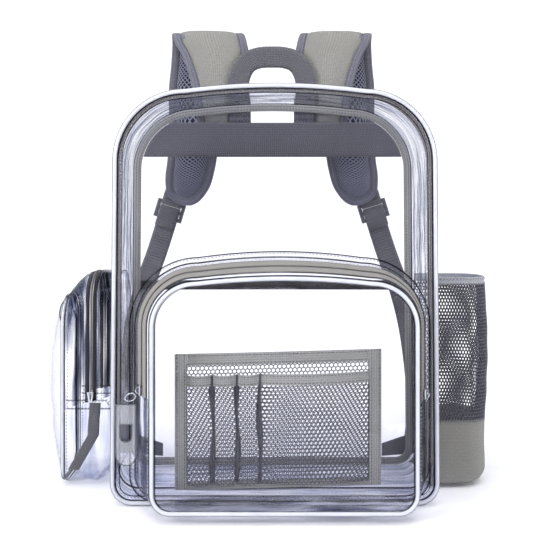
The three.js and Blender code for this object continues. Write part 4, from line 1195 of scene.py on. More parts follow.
def rim_faces(piece, width):
    """Sets a narrow band apart along the outline of a flat piece, with its rim value at 0 outside; the pull's
    finish paints a dark line of shade along it.
    """
    mesh = piece.data
    broad = max(mesh.polygons, key=lambda polygon: polygon.area).normal.copy()
    select_only(piece)
    bpy.ops.object.mode_set(mode="EDIT")
    bpy.ops.mesh.select_mode(type="FACE")
    bpy.ops.mesh.select_all(action="DESELECT")
    bpy.ops.object.mode_set(mode="OBJECT")
    for polygon in mesh.polygons:
        polygon.select = abs(polygon.normal.dot(broad)) > 0.95
    bpy.ops.object.mode_set(mode="EDIT")
    bpy.ops.mesh.inset(thickness=width * MM)
    bpy.ops.mesh.select_mode(type="VERT")
    bpy.ops.object.mode_set(mode="OBJECT")
    edges = [polygon for polygon in mesh.polygons if abs(polygon.normal.dot(broad)) < 0.5]
    outside = {i for polygon in edges for i in polygon.vertices}
    rim = mesh.attributes.new("rim", "FLOAT", "POINT")
    for i, item in enumerate(rim.data):
        item.value = 0.0 if i in outside else width


def middle_of(node_name):
    return Vector([(low(node_name, i) + high(node_name, i)) / 2 for i in range(3)])


def pocket_hardware():
    up = Vector((0, 0, 1))
    for side, hand in (("left", -1), ("right", 1)):
        node_name = f"pocket_slider_{side}"
        centre = middle_of(node_name)
        lean = math.atan2((POCKET_BASE[0] - POCKET_FACE[0]) / 2, POCKET_STAND)
        out = Vector((hand * math.cos(lean), -math.sin(lean), 0))
        slider(f"pocket_pull_body_{side}", node_name, centre, out, up)
        tab = like_node(f"pocket_pull_tab_{side}", f"pocket_tab_{side}")
        rim_faces(tab, 1.1)
        apply(tab, "BEVEL", width=0.45 * MM, segments=2, limit_method="ANGLE", angle_limit=0.6)
        finish(tab, "pull", "clear_tab", [f"pocket_tab_{side}"], smooth_angle=35)
    hub = middle_of("pocket_ring_left")

    def on_ring(u, v):
        turn = 2 * math.pi * v
        wire = 2 * math.pi * u
        reach = 1 + RING_WIRE / RING_HALF * math.cos(wire)
        a = RING_HALF * reach * math.cos(turn)
        z = 0.82 * RING_HALF * reach * math.sin(turn)
        return hub + Vector((a, RING_WIRE * math.sin(wire) - 0.5 * z, z + 0.25 * a))

    size = (2 * math.pi * RING_WIRE, 2 * math.pi * RING_HALF)
    ring = lay("pocket_pull_ring", 10, 48, on_ring, size, closed=True)
    finish(ring, "nickel", "steel", ["pocket_ring_left"])
    front = -HALF + (FRONT_TAPE_END + COIL_END) / 2
    centre = middle_of("main_slider")
    slider("main_zip_slider", "main_slider", Vector((centre.x - 0.2, front, centre.z)),
           Vector((-1, 0, 0)), up)


# Organiser

def board_at(across, rise, stand):
    a = BOARD_CENTRE + across - BOARD_WIDTH / 2
    z = BOARD_FOOT + rise + across * BOARD_SLOPE
    return Vector((a, pocket_base_at(a, z) - stand, z))


def board_piece(name, node_name, acrosses, rises, stand, thickness, steps=(30, 8), lengthwise=True):
    """A flat piece of the organiser; stand is its distance off the board, a number or a function."""
    def place(u, v):
        across = mix(acrosses[0], acrosses[1], u)
        off = stand(across) if callable(stand) else stand
        return board_at(across, mix(rises[0], rises[1], v), off)

    wide = acrosses[1] - acrosses[0]
    tall = rises[1] - rises[0]
    cloth(name, *steps, place, (wide, tall), thickness, "taupe_binding", "taupe_cloth", [node_name],
          turned=lengthwise, bevel=0.25)


def organiser():
    sizes = bpy.context.scene.clear_bag_sizes
    first = SIDE_BINDING + GAP
    last = BOARD_WIDTH - SIDE_BINDING - GAP
    cloth_top = BOARD_HEIGHT - TOP_BINDING - GAP
    net_top = BOARD_HEIGHT - NET_DROP
    foot = FOOT_BINDING + GAP
    net_stand = NET + GAP

    def lean(across):
        share = (across - first) / (last - first)
        for start, end, deep in SLOTS:
            if share <= end:
                local = min(max((share - start) / (end - start), 0), 1)
                return net_stand + CLOTH / 2 + deep * math.sin(math.pi * local) ** 0.7
        return net_stand + CLOTH / 2

    hexagons("organiser_back_knit", last - first, cloth_top - foot + 3, sizes.net / MM,
             lambda u, v: board_at(mix(first, last, u), mix(foot - 1.5, cloth_top + 1.5, v), 0.0),
             1.15, ["organiser_back"])
    ahead = Vector((0, -1, 0))
    rows = []
    board_piece("organiser_net_top", "organiser_net_binding", (first, last),
                (net_top - NET_BINDING, net_top), lean, CLOTH, steps=(120, 4))
    for rise in (net_top - NET_BINDING + 2, net_top - 2):
        rows.append([board_at(mix(first, last, i / 160), rise, lean(mix(first, last, i / 160)) + 0.75)
                     for i in range(161)])
    board_piece("organiser_top_tape", "organiser_top_binding", (first, last),
                (cloth_top + GAP, BOARD_HEIGHT), 0.0, CLOTH)
    for rise in (cloth_top + 2.2, BOARD_HEIGHT - 2.2):
        rows.append([board_at(mix(first, last, i / 20), rise, 0.75) for i in range(21)])
    thick = CLOTH + net_stand
    sewn_at = net_stand / 2 + thick / 2 + 0.05
    for side, acrosses in (
        ("left", (0, SIDE_BINDING)), ("right", (BOARD_WIDTH - SIDE_BINDING, BOARD_WIDTH)),
    ):
        board_piece(f"organiser_side_{side}", f"organiser_side_binding_{side}", acrosses, (0, BOARD_HEIGHT),
                    net_stand / 2, thick, steps=(4, 30), lengthwise=False)
        for inset in (2.2, SIDE_BINDING - 2.2):
            rows.append([board_at(acrosses[0] + inset, BOARD_HEIGHT * i / 20, sewn_at) for i in range(21)])
    board_piece("organiser_foot_tape", "organiser_foot_binding", (first, last), (0, FOOT_BINDING),
                net_stand / 2, thick)
    rows.append([board_at(mix(first, last, i / 20), FOOT_BINDING - 2, sewn_at) for i in range(21)])
    stitches("organiser_stitches", [(row, ahead) for row in rows], "dark_thread", "taupe_cloth")
    # Between its slots the net is gathered into a narrow fold and sewn down through it; the fold is a dark
    # strip, partly the gathered net and partly painted shade
    seams = []
    for i, (_, end, _) in enumerate(SLOTS[:-1]):
        across = mix(first, last, end)

        def on_fold(u, v):
            spread = 2.1 + 0.8 * math.sin(9 * v + across)
            wander = 1.3 * math.sin(6 * v + 0.3 * across) * math.sin(math.pi * v)
            return board_at(across + wander + (2 * u - 1) * spread, mix(foot, net_top, v),
                            net_stand + CLOTH + 2.2 * math.sin(math.pi * u))

        cloth(f"organiser_shaded_fold_{i + 1}", 6, 30, on_fold, (3, net_top - foot), 0.8, "fold", "taupe_cloth")
        path = [board_at(across + 1.9, mix(foot, net_top, j / 20), net_stand + CLOTH) for j in range(21)]
        seams.append((path, ahead))
    stitches("organiser_slot_stitches", seams, "dark_thread", "taupe_cloth")
    rise_low = foot - 1.5
    rise_high = net_top - NET_BINDING + 1.5
    hexagons("organiser_knit", last - first, rise_high - rise_low, sizes.net / MM,
             lambda u, v: board_at(mix(first, last, u), mix(rise_low, rise_high, v),
                                   lean(mix(first, last, u))), 1.05, ["organiser_net"])


# Side pocket

def side_out(spot):
    return Vector((0, spot.y - SIDE_CENTRE, 0.55 * (spot.z - 120.0))).normalized()


def side_pocket():
    share = 1 / SIDE_REACH
    gap = GAP * share
    half_zip = (COIL / 2 + GAP + SIDE_TAPE) * share
    inner_end = 0.5 - half_zip - gap
    outer_start = 0.5 + half_zip + gap
    coil_half = COIL / 2 * share
    shape = side_outline(0.5)
    start = shape.station_at(SIDE_END)
    end = 10 - start
    face = WIDTH / 2 + SIDE_REACH + SIDE_PIPING
    tube("side_piping_cord", side_outline(1, SIDE_PIPING), SIDE_PIPING,
         lambda a, z, up: Vector((-face - up, a, z)), "piping", "white_piping", ["side_pocket_piping"],
         steps=200)
    inner = side_outline(1, 2 * SIDE_PIPING + GAP)
    centre = (inner.foot + inner.top) / 2
    tall = (inner.top - inner.foot) / 2

    def on_face(a, z, across):
        wide = max(1 - ((a - inner.centre) / inner.half) ** 2, 0)
        along = max(1 - ((z - centre) / tall) ** 2, 0)
        rise = SIDE_BULGE * math.sqrt(wide) * along**0.6
        crease = 2.4 * (wide * along) ** 0.4 * ripple((a, 0, z), 26, 5.5)
        return Vector((-face - rise - crease, a, z))

    panel("side_face_film", inner, on_face, ["side_pocket_face"], steps=(30, 60))
    # The film is sewn over the outer half of each tape, so only its inner half shows
    lap = 3.5 * share
    for name, node_name, outs, uneven in (
        ("side_inner_film", "side_pocket_inner_gusset", (0, inner_end + lap), 0.9),
        ("side_outer_film", "side_pocket_outer_gusset", (outer_start - lap, 1 - gap), 1.3),
    ):
        strip(name, shape, side_point, start, end, outs, "fold_shaded", "clear_film", [node_name], 120, rows=8,
              uneven=uneven)
    strip("side_foot_film", shape, side_point, end - 10 + 0.005, start - 0.005, (0, 1 - gap), "wall",
          "clear_film", ["side_pocket_foot_gusset"], 110, rows=22, uneven=3.4)
    for name, node_name, outs in (
        ("side_tape_inner", "side_pocket_tape_inner", (inner_end + lap + gap, 0.5 - coil_half - gap)),
        ("side_tape_outer", "side_pocket_tape_outer", (0.5 + coil_half + gap, outer_start - lap - gap)),
    ):
        strip(name, shape, side_point, start, end, outs, "black_tape", "black_zip", [node_name], 120, rows=3,
              thickness=TAPE)
    even, _ = shape.even(start, end, 200)
    teeth("side_teeth", [side_point(s, 0.5) for s in even], side_out, "grey_coil", "grey_tape",
          ["side_pocket_coil"])
    rows = []
    for out in (inner_end - 3 * share, inner_end + share, outer_start - share, outer_start + 3 * share,
                0.93):
        rows.append(sewn(side_point, out, even, side_out))
    low_even, _ = shape.even(end - 10, start, 160)
    for out in (0.05, 0.95):
        rows.append(sewn(side_point, out, low_even, side_out))
    stitches("side_stitches", rows, "dark_thread")
    centre = middle_of("side_pocket_slider")
    slider("side_zip_slider", "side_pocket_slider", centre, Vector((0, -1, 0)), Vector((0, 0, 1)))

    # A welded band closes the wall across both ends of the zip, with a row of stitches along each edge
    for name, turn in (("front", -1), ("rear", 1)):
        def on_band(u, v):
            out = 0.06 + 0.9 * v
            spot = side_point(turn * side_outline(out).station_at(SIDE_END + mix(-7, 3, u)), out)
            return spot + side_out(spot) * 1.1

        cloth(f"side_band_{name}", 4, 24, on_band, (10, 55), 0.6, "film", "clear_film")
        rows = [([on_band(edge, i / 24) + Vector((0, turn * 0.4, 0)) for i in range(25)], side_out)
                for edge in (0.15, 0.85)]
        stitches(f"side_band_stitches_{name}", rows, "dark_thread")

    # The grey tape hangs straight down from the zip's end and then swings out to the corner
    top = high("side_pocket_strip", 2)
    foot = low("side_pocket_strip", 2)
    y = SIDE_CENTRE - SIDE_WIDTH / 2 - FILM / 2 - LAY - CLOTH / 2

    def on_tape(u, v):
        swing = 1 - 0.84 * min(v / 0.52, 1) - 0.16 * v
        out = WIDTH / 2 + mix(SIDE_REACH / 2 + COIL, SIDE_REACH - 2 * SIDE_PIPING, swing)
        fold = CLOTH * ramp(v, 0.05, 0.4) * (1 - ramp(v, 0.6, 0.95))
        crumple = 2.4 * ripple((12 * u, 0, 72 * v), 8, 1.4) * math.sin(math.pi * v) ** 0.5
        return Vector((-out + 12.0 * u, y - fold - abs(crumple), mix(foot, top, v)))

    cloth("side_tape_end", 5, 40, on_tape, (12, top - foot), 0.8 * CLOTH, "webbing", "slate_webbing",
          ["side_pocket_strip"])


# Bottle pocket

def bottle_path(inset, reach_inset):
    front = SIDE_CENTRE - SIDE_WIDTH / 2 + inset
    rear = SIDE_CENTRE + SIDE_WIDTH / 2 - inset
    far = WIDTH / 2 + BOTTLE_REACH - reach_inset
    radius = BOTTLE_CORNER
    path = []
    for i in range(9):
        turn = i / 8 * math.pi / 2
        path.append((far - radius + radius * math.sin(turn), front + radius - radius * math.cos(turn)))
    for i in range(9):
        turn = i / 8 * math.pi / 2
        path.append((far - radius + radius * math.cos(turn), rear - radius + radius * math.sin(turn)))
    return front, rear, path


def bottle_point(share, z, thickness, inset=0.0):
    """A point of the bottle pocket's wall, a share of the way round from the body's front side."""
    front, rear, path = bottle_path(thickness / 2, thickness / 2 + inset)
    start = wall_at(front, z) + LAY
    finish_x = wall_at(rear, z) + LAY
    points = [Vector((start, front, z)), *[Vector((x, y, z)) for x, y in path], Vector((finish_x, rear, z))]
    total = sum((b - a).length for a, b in zip(points, points[1:]))
    wanted = share * total
    for a, b in zip(points, points[1:]):
        length = (b - a).length
        if wanted <= length:
            return a.lerp(b, wanted / max(length, 1e-9))
        wanted -= length
    return points[-1]


def bottle_out(spot):
    return Vector((max(spot.x - 195.0, 0), spot.y - SIDE_CENTRE, 0)).normalized()


def bottle_pocket():
    sizes = bpy.context.scene.clear_bag_sizes
    net_foot = BOTTLE_BASE + GAP - 1.5
    net_top = BOTTLE_TOP - BOTTLE_RIM - GAP + 1.5

    def on_net(u, v):
        z = mix(net_foot, net_top, v)
        belly = -3 * math.sin(math.pi * v)
        spot = bottle_point(u, z, NET, belly)
        fold = 0.4 * math.sin((spot.x + 0.9 * z) / 5.5) + ripple(spot, 40, 2.2)
        return spot + bottle_out(spot) * 0.8 * fold * math.sin(math.pi * v) ** 0.5

    hexagons("bottle_knit", BOTTLE_AROUND, net_top - net_foot, sizes.net / MM, on_net, 1.75, ["bottle_net"])

    def on_rim(u, v):
        spot = bottle_point(u, mix(BOTTLE_TOP - BOTTLE_RIM, BOTTLE_TOP, v), 2.4)
        return spot + bottle_out(spot) * 0.4 * ripple(spot, 30, 9.1)

    cloth("bottle_rim_binding", 120, 5, on_rim, (BOTTLE_AROUND, BOTTLE_RIM), 2.2, "pale_binding",
          "grey_cloth", ["bottle_rim"], bevel=0.7, segments=3)

    def on_base(u, v):
        z = mix(BOTTLE_FOOT, BOTTLE_BASE, v)
        over = z - BOTTLE_FOOT
        tuck = BOTTLE_TUCK * (1 - min(over / (1.3 * BOTTLE_TUCK), 1) ** 0.5) ** 1.2
        spot = bottle_point(u, z, CLOTH, tuck)
        slack = 1.1 * ripple(spot, 30, 4.4) * math.sin(math.pi * v)
        return spot + bottle_out(spot) * slack

    tall = BOTTLE_BASE - BOTTLE_FOOT
    base = cloth("bottle_base_cloth", 120, 30, on_base, (BOTTLE_AROUND, tall), CLOTH, "oxford", "grey_cloth",
                 ["bottle_base"])
    floor = like_node("bottle_floor_cloth", "bottle_floor", bevel=0.3)
    finish(floor, "black_tape", "grey_cloth", ["bottle_floor"], smooth_angle=40)

    def line(z, stand):
        points = [bottle_point(i / 90, z, CLOTH) for i in range(91)]
        return [p + bottle_out(p) * stand for p in points], bottle_out

    stitches("bottle_stitches", [line(BOTTLE_TOP - 2.2, 1.4), line(BOTTLE_TOP - BOTTLE_RIM + 2, 1.4),
                                 line(BOTTLE_BASE - 2.5, 0.8)], "grey_thread", "grey_cloth")


# Straps

def blunt(value, power):
    """A sine made blunter, for a section between round and square."""
    return math.copysign(abs(value) ** power, value)


def pad_section(hand, t):
    level, back, spread, wide = smooth(PAD_SECTIONS, t)
    z = HEIGHT + level * (STRAP_CREST if level > 0 else STRAP_DROP)
    return Vector((hand * spread * STRAP_SPREAD, HALF + back * STRAP_STAND, z)), wide * STRAP_WIDTH / 2


def pad_normal(hand, t):
    last = len(PAD_SECTIONS) - 1
    before, _ = pad_section(hand, max(t - 0.3, 0))
    after, _ = pad_section(hand, min(t + 0.3, last))
    return Vector((0, -(after.z - before.z), after.y - before.y)).normalized()


def pad_edge(hand, t, side, inset):
    here, half = pad_section(hand, t)
    centre = pad_section(hand, TIP_FROM)[0] if t > TIP_FROM else here
    edge = here + Vector((side * half, 0, 0))
    towards = centre - edge
    return edge + towards * min(inset / towards.length, 0.96)


def straps():
    last = len(PAD_SECTIONS) - 1
    for name, hand in (("left", -1), ("right", 1)):
        def on_pad(u, v):
            t = v * last
            start = pad_edge(hand, t, -1, STRAP_BINDING - 1.5)
            end = pad_edge(hand, t, 1, STRAP_BINDING - 1.5)
            normal = pad_normal(hand, t)
            angle = 2 * math.pi * u
            share = 0.5 - 0.5 * blunt(math.cos(angle), 0.8)
            slim = mix(1, 0.45, (t - TIP_FROM) / (last - TIP_FROM)) if t > TIP_FROM else 1.0
            slim *= mix(0.5, 1.0, min(t / 1.2, 1.0))
            plump = blunt(math.sin(angle), 0.75)
            uneven = 1 + 0.10 * ripple((60 * u, 0, 14 * t), 12, 3.3 * hand)
            return start.lerp(end, share) + normal * plump * slim * uneven * (STRAP_THICK / 2 + 0.8)

        pad = lay(f"pad_{name}", 32, 150, on_pad, (2 * STRAP_WIDTH, PAD_LENGTH), closed=True)
        finish(pad, "oxford", "air_mesh", [f"strap_pad_{name}"])
        pad.data.materials.append(material("spacer"))
        centres = [pad_section(hand, last * i / 150)[0] for i in range(151)]
        normals = [pad_normal(hand, last * i / 150) for i in range(151)]
        for polygon in pad.data.polygons:
            spot = polygon.center / MM
            nearest = min(range(151), key=lambda i: (centres[i] - spot).length_squared)
            if (spot - centres[nearest]).dot(normals[nearest]) < 0:
                polygon.material_index = 1

        order = [(last * i / 90, -1) for i in range(91)] + [(last * (1 - i / 90), 1) for i in range(91)]
        rows = len(order) - 1

        def on_edge(u, v):
            t, side = order[round(v * rows)]
            normal = pad_normal(hand, t)
            outer = pad_edge(hand, t, side, 0)
            inner = pad_edge(hand, t, side, STRAP_BINDING)
            angle = 2 * math.pi * u
            across = 0.5 - 0.5 * blunt(math.cos(angle), 0.7)
            rise = blunt(math.sin(angle), 0.7) * (STRAP_EDGE / 2 + 0.3)
            return outer.lerp(inner, across) + normal * rise

        size = (2 * STRAP_BINDING, 2 * PAD_LENGTH)
        edging = lay(f"pad_binding_{name}", 16, rows, on_edge, size, closed=True)
        finish(edging, "binding", "slate_binding", [f"strap_binding_{name}"])
        lines = []
        for side in (-1, 1):
            for face in (1, -1):
                path = []
                for i in range(121):
                    t = mix(0.2, last - 1.2, i / 120)
                    rim = pad_edge(hand, t, side, STRAP_BINDING - 2.4)
                    path.append(rim + pad_normal(hand, t) * face * (STRAP_EDGE / 2 + 0.1))

                def out(spot, face=face, centres=centres, normals=normals):
                    nearest = min(range(151), key=lambda i: (centres[i] - spot).length_squared)
                    return normals[nearest] * face

                lines.append((path, out))
        stitches(f"pad_stitches_{name}", lines, "dark_thread", "slate_binding")


def fastenings():
    last = len(PAD_SECTIONS) - 1
    for name, hand in (("left", -1), ("right", 1)):
        tip, _ = pad_section(hand, last)
        tilt = math.radians(LOCK_TILT)
        down = Vector((hand * math.sin(tilt), 0, -math.cos(tilt)))
        along = Vector((math.cos(tilt), 0, hand * math.sin(tilt)))
        lift = Vector((0, 0, LOCK_LIFT))
        origin = Vector((tip.x + hand * LOCK_OUT, tip.y + LOCK_BEHIND, tip.z - LOCK_BELOW)) + lift

        def at(distance, behind):
            return origin + down * distance + Vector((0, behind, 0))

        lock = like_node(f"lock_frame_{name}", f"ladder_lock_{name}", bevel=0.8, segments=3)
        lock.data.transform(Matrix.Translation(lift * MM))
        finish(lock, "acetal", "dark_plastic", [f"ladder_lock_{name}"], smooth_angle=40)
        off = LOCK_THICK / 2 + GAP + WEBBING / 2
        wrap = LOCK_BAR + GAP + WEBBING / 2
        route = [
            (-TAB_TUCK, -off), (0, -off), (wrap - 1, -off), (wrap, -off + 1),
            (wrap, off - 1), (wrap - 1, off), (0, off), (-TAB_TUCK, off),
        ]
        ribbon(f"tab_webbing_{name}", [(at(d, b), along) for d, b in route], STRAP_WEB, WEBBING, "webbing",
               "slate_webbing", [f"strap_tab_{name}"], 48)
        pitch = LOCK_BAR + LOCK_SLOT
        length = 2 * pitch + LOCK_BAR
        turn = pitch - GAP - WEBBING / 2
        anchor_x = hand * (WIDTH / 2 + ADJUSTER_SIDE)
        anchor_y = behind_back(anchor_x, ADJUSTER_END, LAY + WEBBING + GAP + WEBBING / 2)
        start = at(length + 6, off)
        path = [(at(d, b), along) for d, b in (
            (length + ADJUSTER_TAIL, -off), (turn + 1, -off), (turn, -off + 1),
            (turn, off - 1), (turn + 1, off), (length + 6, off),
        )]
        bends = [
            Vector((mix(start.x, anchor_x, out), mix(anchor_y, start.y, back),
                    mix(start.z, ADJUSTER_END, fall)))
            for fall, out, back in ADJUSTER_BENDS
        ]
        bends.append(Vector((anchor_x, anchor_y, ADJUSTER_END)))
        for i, centre in enumerate(bends):
            before = start if i == 0 else bends[i - 1]
            after = bends[min(i + 1, len(bends) - 1)]
            run = after - before
            path.append((centre, Vector((-run.z, 0, run.x)).normalized()))
        ribbon(f"adjuster_webbing_{name}", path, STRAP_WEB, WEBBING, "webbing", "slate_webbing",
               [f"adjuster_{name}"], 120)
        inner = hand * (WIDTH / 2 - ANCHOR_WIDTH)
        outer = hand * (WIDTH / 2 + ADJUSTER_SIDE + STRAP_WEB / 2)

        def on_anchor(u, v):
            x = mix(inner, outer, u)
            z = ANCHOR_FOOT + mix(4 * u, ANCHOR_HEIGHT * mix(0.45, 1, u), v)
            return Vector((x, behind_back(x, z, LAY + WEBBING / 2), z))

        cloth(f"anchor_webbing_{name}", 14, 8, on_anchor, (51, ANCHOR_HEIGHT), WEBBING, "webbing",
              "slate_webbing", [f"anchor_tab_{name}"])


def handle():
    half = HANDLE_SPAN / 2
    rows = [(1.0, HEIGHT - HANDLE_LOW, 0, 0.0), (1.0, HEIGHT, 0, 0.0)]
    rows += [(side, HEIGHT + up * HANDLE_RISE, turn, HANDLE_LEAN * up) for side, up, turn in HANDLE_TURNS]
    rows += [(-side, z, 180 - turn, lean) for side, z, turn, lean in reversed(rows[:-1])]
    route = []
    for side, z, turn, lean in rows:
        x = -side * half
        y = behind_back(x, min(z, HEIGHT), LAY + HANDLE_THICK / 2) + lean
        across = Vector((math.cos(math.radians(turn)), 0, -math.sin(math.radians(turn))))
        route.append((Vector((x, y, z)), across))
    ribbon("grab_webbing", route, HANDLE_WIDTH, HANDLE_THICK, "webbing", "slate_webbing", ["handle"], 120)


# Stage

def stage():
    bpy.ops.object.select_all(action="DESELECT")
    bpy.ops.mesh.primitive_plane_add(size=14, location=(0, 0, -0.0006))
    floor = bpy.context.object
    floor.name = "studio_sweep"
    bpy.ops.object.transform_apply(location=True, rotation=True, scale=True)
    floor.data.materials.append(material("floor"))

    world = bpy.data.worlds.new("white_cove")
    bpy.context.scene.world = world
    world.use_nodes = True
    tree = world.node_tree
    tree.nodes.clear()
    # The cove behind the bag is white. The room, which only lights the bag and shows in its gloss,
    # has dark flags on both sides of the cove, for the dark lines along clear edges
    sky = node(tree, "TexCoord").outputs["Generated"]
    way = node(tree, "SeparateXYZ", {"Vector": sky})
    aside = node(tree, "VectorMath", {0: sky, 1: (1.0, 0.0, 0.4)}, operation="MULTIPLY")
    apart = node(tree, "VectorMath", {0: aside}, operation="LENGTH")
    cove = node(tree, "ValToRGB", {"Fac": apart.outputs["Value"]}, (
        (0.20, "#ffffff"), (0.27, "#70727c"), (0.44, "#565862"), (0.55, "#f2f3f6"),
        (0.80, "#e2e3e8"), (0.95, "#a9abb3"),
    ))
    facing = node(tree, "MapRange", {"Value": way.outputs["Y"], "From Min": -0.15, "From Max": 0.15})
    room = node(tree, "Mix", {
        "Factor": facing, 6: "#9a9ca4", 7: cove,
    }, data_type="RGBA").outputs[2]
    soft = node(tree, "Background", {"Color": room, "Strength": 0.9})
    white = node(tree, "Background", {"Color": (1, 1, 1, 1), "Strength": 1.05})
    seen = node(tree, "LightPath").outputs["Is Camera Ray"]
    mixed = node(tree, "MixShader", {0: seen, 1: soft, 2: white})
    node(tree, "OutputWorld", {"Surface": mixed})

    target = Vector((0, 0, 0.24))
    for name, place, size, power in (
        ("left_softbox", (-1.5, -1.2, 0.85), (0.9, 1.2), 20.0),
        ("right_softbox", (1.7, -1.0, 0.9), (0.7, 1.4), 9.0),
        ("top_softbox", (0.0, -0.35, 1.9), (1.8, 1.1), 15.0),
        ("rear_softbox", (0.2, 1.7, 1.1), (2.4, 1.2), 8.0),
        ("right_strip", (0.95, -1.3, 0.32), (0.14, 0.7), 3.0),
        ("left_strip", (-0.95, -1.15, 0.5), (0.10, 0.9), 2.5),
        ("upper_strip", (-0.1, -1.3, 1.2), (1.4, 0.3), 6.0),
    ):
        bpy.ops.object.select_all(action="DESELECT")
        bpy.ops.object.light_add(type="AREA", location=place)
        lamp = bpy.context.object
        lamp.name = name
        lamp.rotation_euler = (target - Vector(place)).to_track_quat("-Z", "Y").to_euler()
        lamp.data.shape = "RECTANGLE"
        lamp.data.size = size[0]
        lamp.data.size_y = size[1]
        lamp.data.energy = power

    # The camera looks level and straight at the bag; its frame is shifted down and to the right
    bpy.ops.object.camera_add(location=(-0.017, -0.832, 0.282), rotation=(math.pi / 2, 0, 0))
    camera = bpy.context.object
    camera.data.lens = 50.0
    camera.data.sensor_width = 36.0
    camera.data.shift_x = 0.031
    camera.data.shift_y = -0.091
    bpy.context.scene.camera = camera
    bpy.context.scene.view_settings.view_transform = "Standard"
    bpy.context.scene.view_settings.look = "Medium High Contrast"
    # Many clear walls lie behind one another, and each takes one step of a ray
    bpy.context.scene.cycles.transparent_max_bounces = 40


# The add-on

def colour_property(name, description, code):
    return bpy.props.FloatVectorProperty(
        name=name, description=description, default=linear(code)[:3], subtype="COLOR", min=0, max=1, size=3,
    )


class ClearBagSizes(bpy.types.PropertyGroup):
    stitch: bpy.props.FloatProperty(
        name="Stitch", description="Distance from one stitch to the next", default=3.6 * MM, unit="LENGTH",
    )
    net: bpy.props.FloatProperty(
        name="Net", description="Distance from one hole of the nets to the next", default=4.3 * MM,
        unit="LENGTH",
    )


class ClearBagColours(bpy.types.PropertyGroup):
    haze: colour_property("Haze", "Colour of the film's slight milkiness", "#f1f2f6")
    piping: colour_property("Piping", "Colour of the glossy piping", "#c3c5cd")
    webbing: colour_property("Webbing", "Colour of the webbing", "#68686f")
    binding: colour_property("Binding", "Colour of the seam bindings", "#6f6f7b")
    cloth: colour_property("Cloth", "Colour of the strong cloth of straps and bottle pocket", "#8e8d89")
    taupe: colour_property("Taupe", "Colour of the organiser's cloth and tape", "#9b9b98")
    net: colour_property("Net", "Colour of the nets' yarn", "#575862")
    mesh: colour_property("Mesh", "Colour of the spacer mesh under the straps", "#2a2b3c")


class CLEARBAG_OT_film(bpy.types.Operator):
    """Model the clear panels and walls of the main body"""
    bl_idname = "clear_bag.film"
    bl_label = "Main film"

    def execute(self, context):
        main_film()
        return {"FINISHED"}


class CLEARBAG_OT_trim(bpy.types.Operator):
    """Model the piping, seam tape and back binding of the main body"""
    bl_idname = "clear_bag.trim"
    bl_label = "Main trim"

    def execute(self, context):
        main_trim()
        return {"FINISHED"}


class CLEARBAG_OT_zip(bpy.types.Operator):
    """Model the main zip's tapes, teeth and stitches"""
    bl_idname = "clear_bag.zip"
    bl_label = "Main zip"

    def execute(self, context):
        main_zip()
        return {"FINISHED"}


class CLEARBAG_OT_bands(bpy.types.Operator):
    """Model the two bands of webbing across the back"""
    bl_idname = "clear_bag.bands"
    bl_label = "Bands"

    def execute(self, context):
        bands()
        return {"FINISHED"}


class CLEARBAG_OT_front_pocket(bpy.types.Operator):
    """Model the front pocket's film, piping, zip and stitches"""
    bl_idname = "clear_bag.front_pocket"
    bl_label = "Front pocket"

    def execute(self, context):
        front_pocket()
        return {"FINISHED"}


class CLEARBAG_OT_hardware(bpy.types.Operator):
    """Model the sliders, the ring and the clear pulls"""
    bl_idname = "clear_bag.hardware"
    bl_label = "Sliders and pulls"

    def execute(self, context):
        pocket_hardware()
        return {"FINISHED"}


class CLEARBAG_OT_organiser(bpy.types.Operator):
    """Model the organiser: its cloth, bindings, net and stitches"""
    bl_idname = "clear_bag.organiser"
    bl_label = "Organiser"

    def execute(self, context):
        organiser()
        return {"FINISHED"}


class CLEARBAG_OT_side_pocket(bpy.types.Operator):
    """Model the zipped side pocket"""
    bl_idname = "clear_bag.side_pocket"
    bl_label = "Side pocket"

    def execute(self, context):
        side_pocket()
        return {"FINISHED"}


class CLEARBAG_OT_bottle_pocket(bpy.types.Operator):
    """Model the bottle pocket: rim, net, base and floor"""
    bl_idname = "clear_bag.bottle_pocket"
    bl_label = "Bottle pocket"

    def execute(self, context):
        bottle_pocket()
        return {"FINISHED"}


class CLEARBAG_OT_straps(bpy.types.Operator):
    """Model the padded straps and their bindings"""
    bl_idname = "clear_bag.straps"
    bl_label = "Straps"

    def execute(self, context):
        straps()
        return {"FINISHED"}


class CLEARBAG_OT_fastenings(bpy.types.Operator):
    """Model the ladder locks, adjusters and anchors below the straps"""
    bl_idname = "clear_bag.fastenings"
    bl_label = "Strap fastenings"

    def execute(self, context):
        fastenings()
        return {"FINISHED"}


class CLEARBAG_OT_handle(bpy.types.Operator):
    """Model the grab handle"""
    bl_idname = "clear_bag.handle"
    bl_label = "Handle"

    def execute(self, context):
        handle()
        return {"FINISHED"}


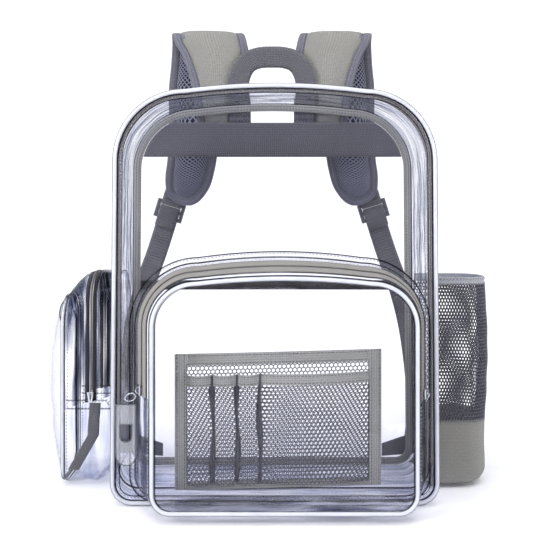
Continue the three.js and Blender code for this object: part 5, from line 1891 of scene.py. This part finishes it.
class CLEARBAG_OT_stage(bpy.types.Operator):
    """Set up the floor, the light and the camera"""
    bl_idname = "clear_bag.stage"
    bl_label = "Stage"

    def execute(self, context):
        stage()
        return {"FINISHED"}


OPERATORS = (
    CLEARBAG_OT_film, CLEARBAG_OT_trim, CLEARBAG_OT_zip, CLEARBAG_OT_bands, CLEARBAG_OT_front_pocket,
    CLEARBAG_OT_hardware, CLEARBAG_OT_organiser, CLEARBAG_OT_side_pocket, CLEARBAG_OT_bottle_pocket,
    CLEARBAG_OT_straps, CLEARBAG_OT_fastenings, CLEARBAG_OT_handle, CLEARBAG_OT_stage,
)


class CLEARBAG_PT_panel(bpy.types.Panel):
    """Sizes, colours and pieces of the clear backpack"""
    bl_idname = "CLEARBAG_PT_panel"
    bl_label = "Clear backpack"
    bl_space_type = "VIEW_3D"
    bl_region_type = "UI"
    bl_category = "Clear bag"

    def draw(self, context):
        for group in (context.scene.clear_bag_sizes, context.scene.clear_bag_colours):
            for name in group.__annotations__:
                self.layout.prop(group, name)
        for operator in OPERATORS:
            self.layout.operator(operator.bl_idname)


CLASSES = (ClearBagSizes, ClearBagColours, *OPERATORS, CLEARBAG_PT_panel)


def register():
    for item in CLASSES:
        bpy.utils.register_class(item)
    bpy.types.Scene.clear_bag_sizes = bpy.props.PointerProperty(type=ClearBagSizes)
    bpy.types.Scene.clear_bag_colours = bpy.props.PointerProperty(type=ClearBagColours)


def unregister():
    del bpy.types.Scene.clear_bag_colours
    del bpy.types.Scene.clear_bag_sizes
    for item in reversed(CLASSES):
        bpy.utils.unregister_class(item)


def main():
    register()
    bpy.ops.clear_bag.stage()
    bpy.ops.clear_bag.film()
    bpy.ops.clear_bag.trim()
    bpy.ops.clear_bag.zip()
    bpy.ops.clear_bag.bands()
    bpy.ops.clear_bag.front_pocket()
    bpy.ops.clear_bag.hardware()
    bpy.ops.clear_bag.organiser()
    bpy.ops.clear_bag.side_pocket()
    bpy.ops.clear_bag.bottle_pocket()
    bpy.ops.clear_bag.straps()
    bpy.ops.clear_bag.fastenings()
    bpy.ops.clear_bag.handle()


if __name__ == "__main__":
    main()
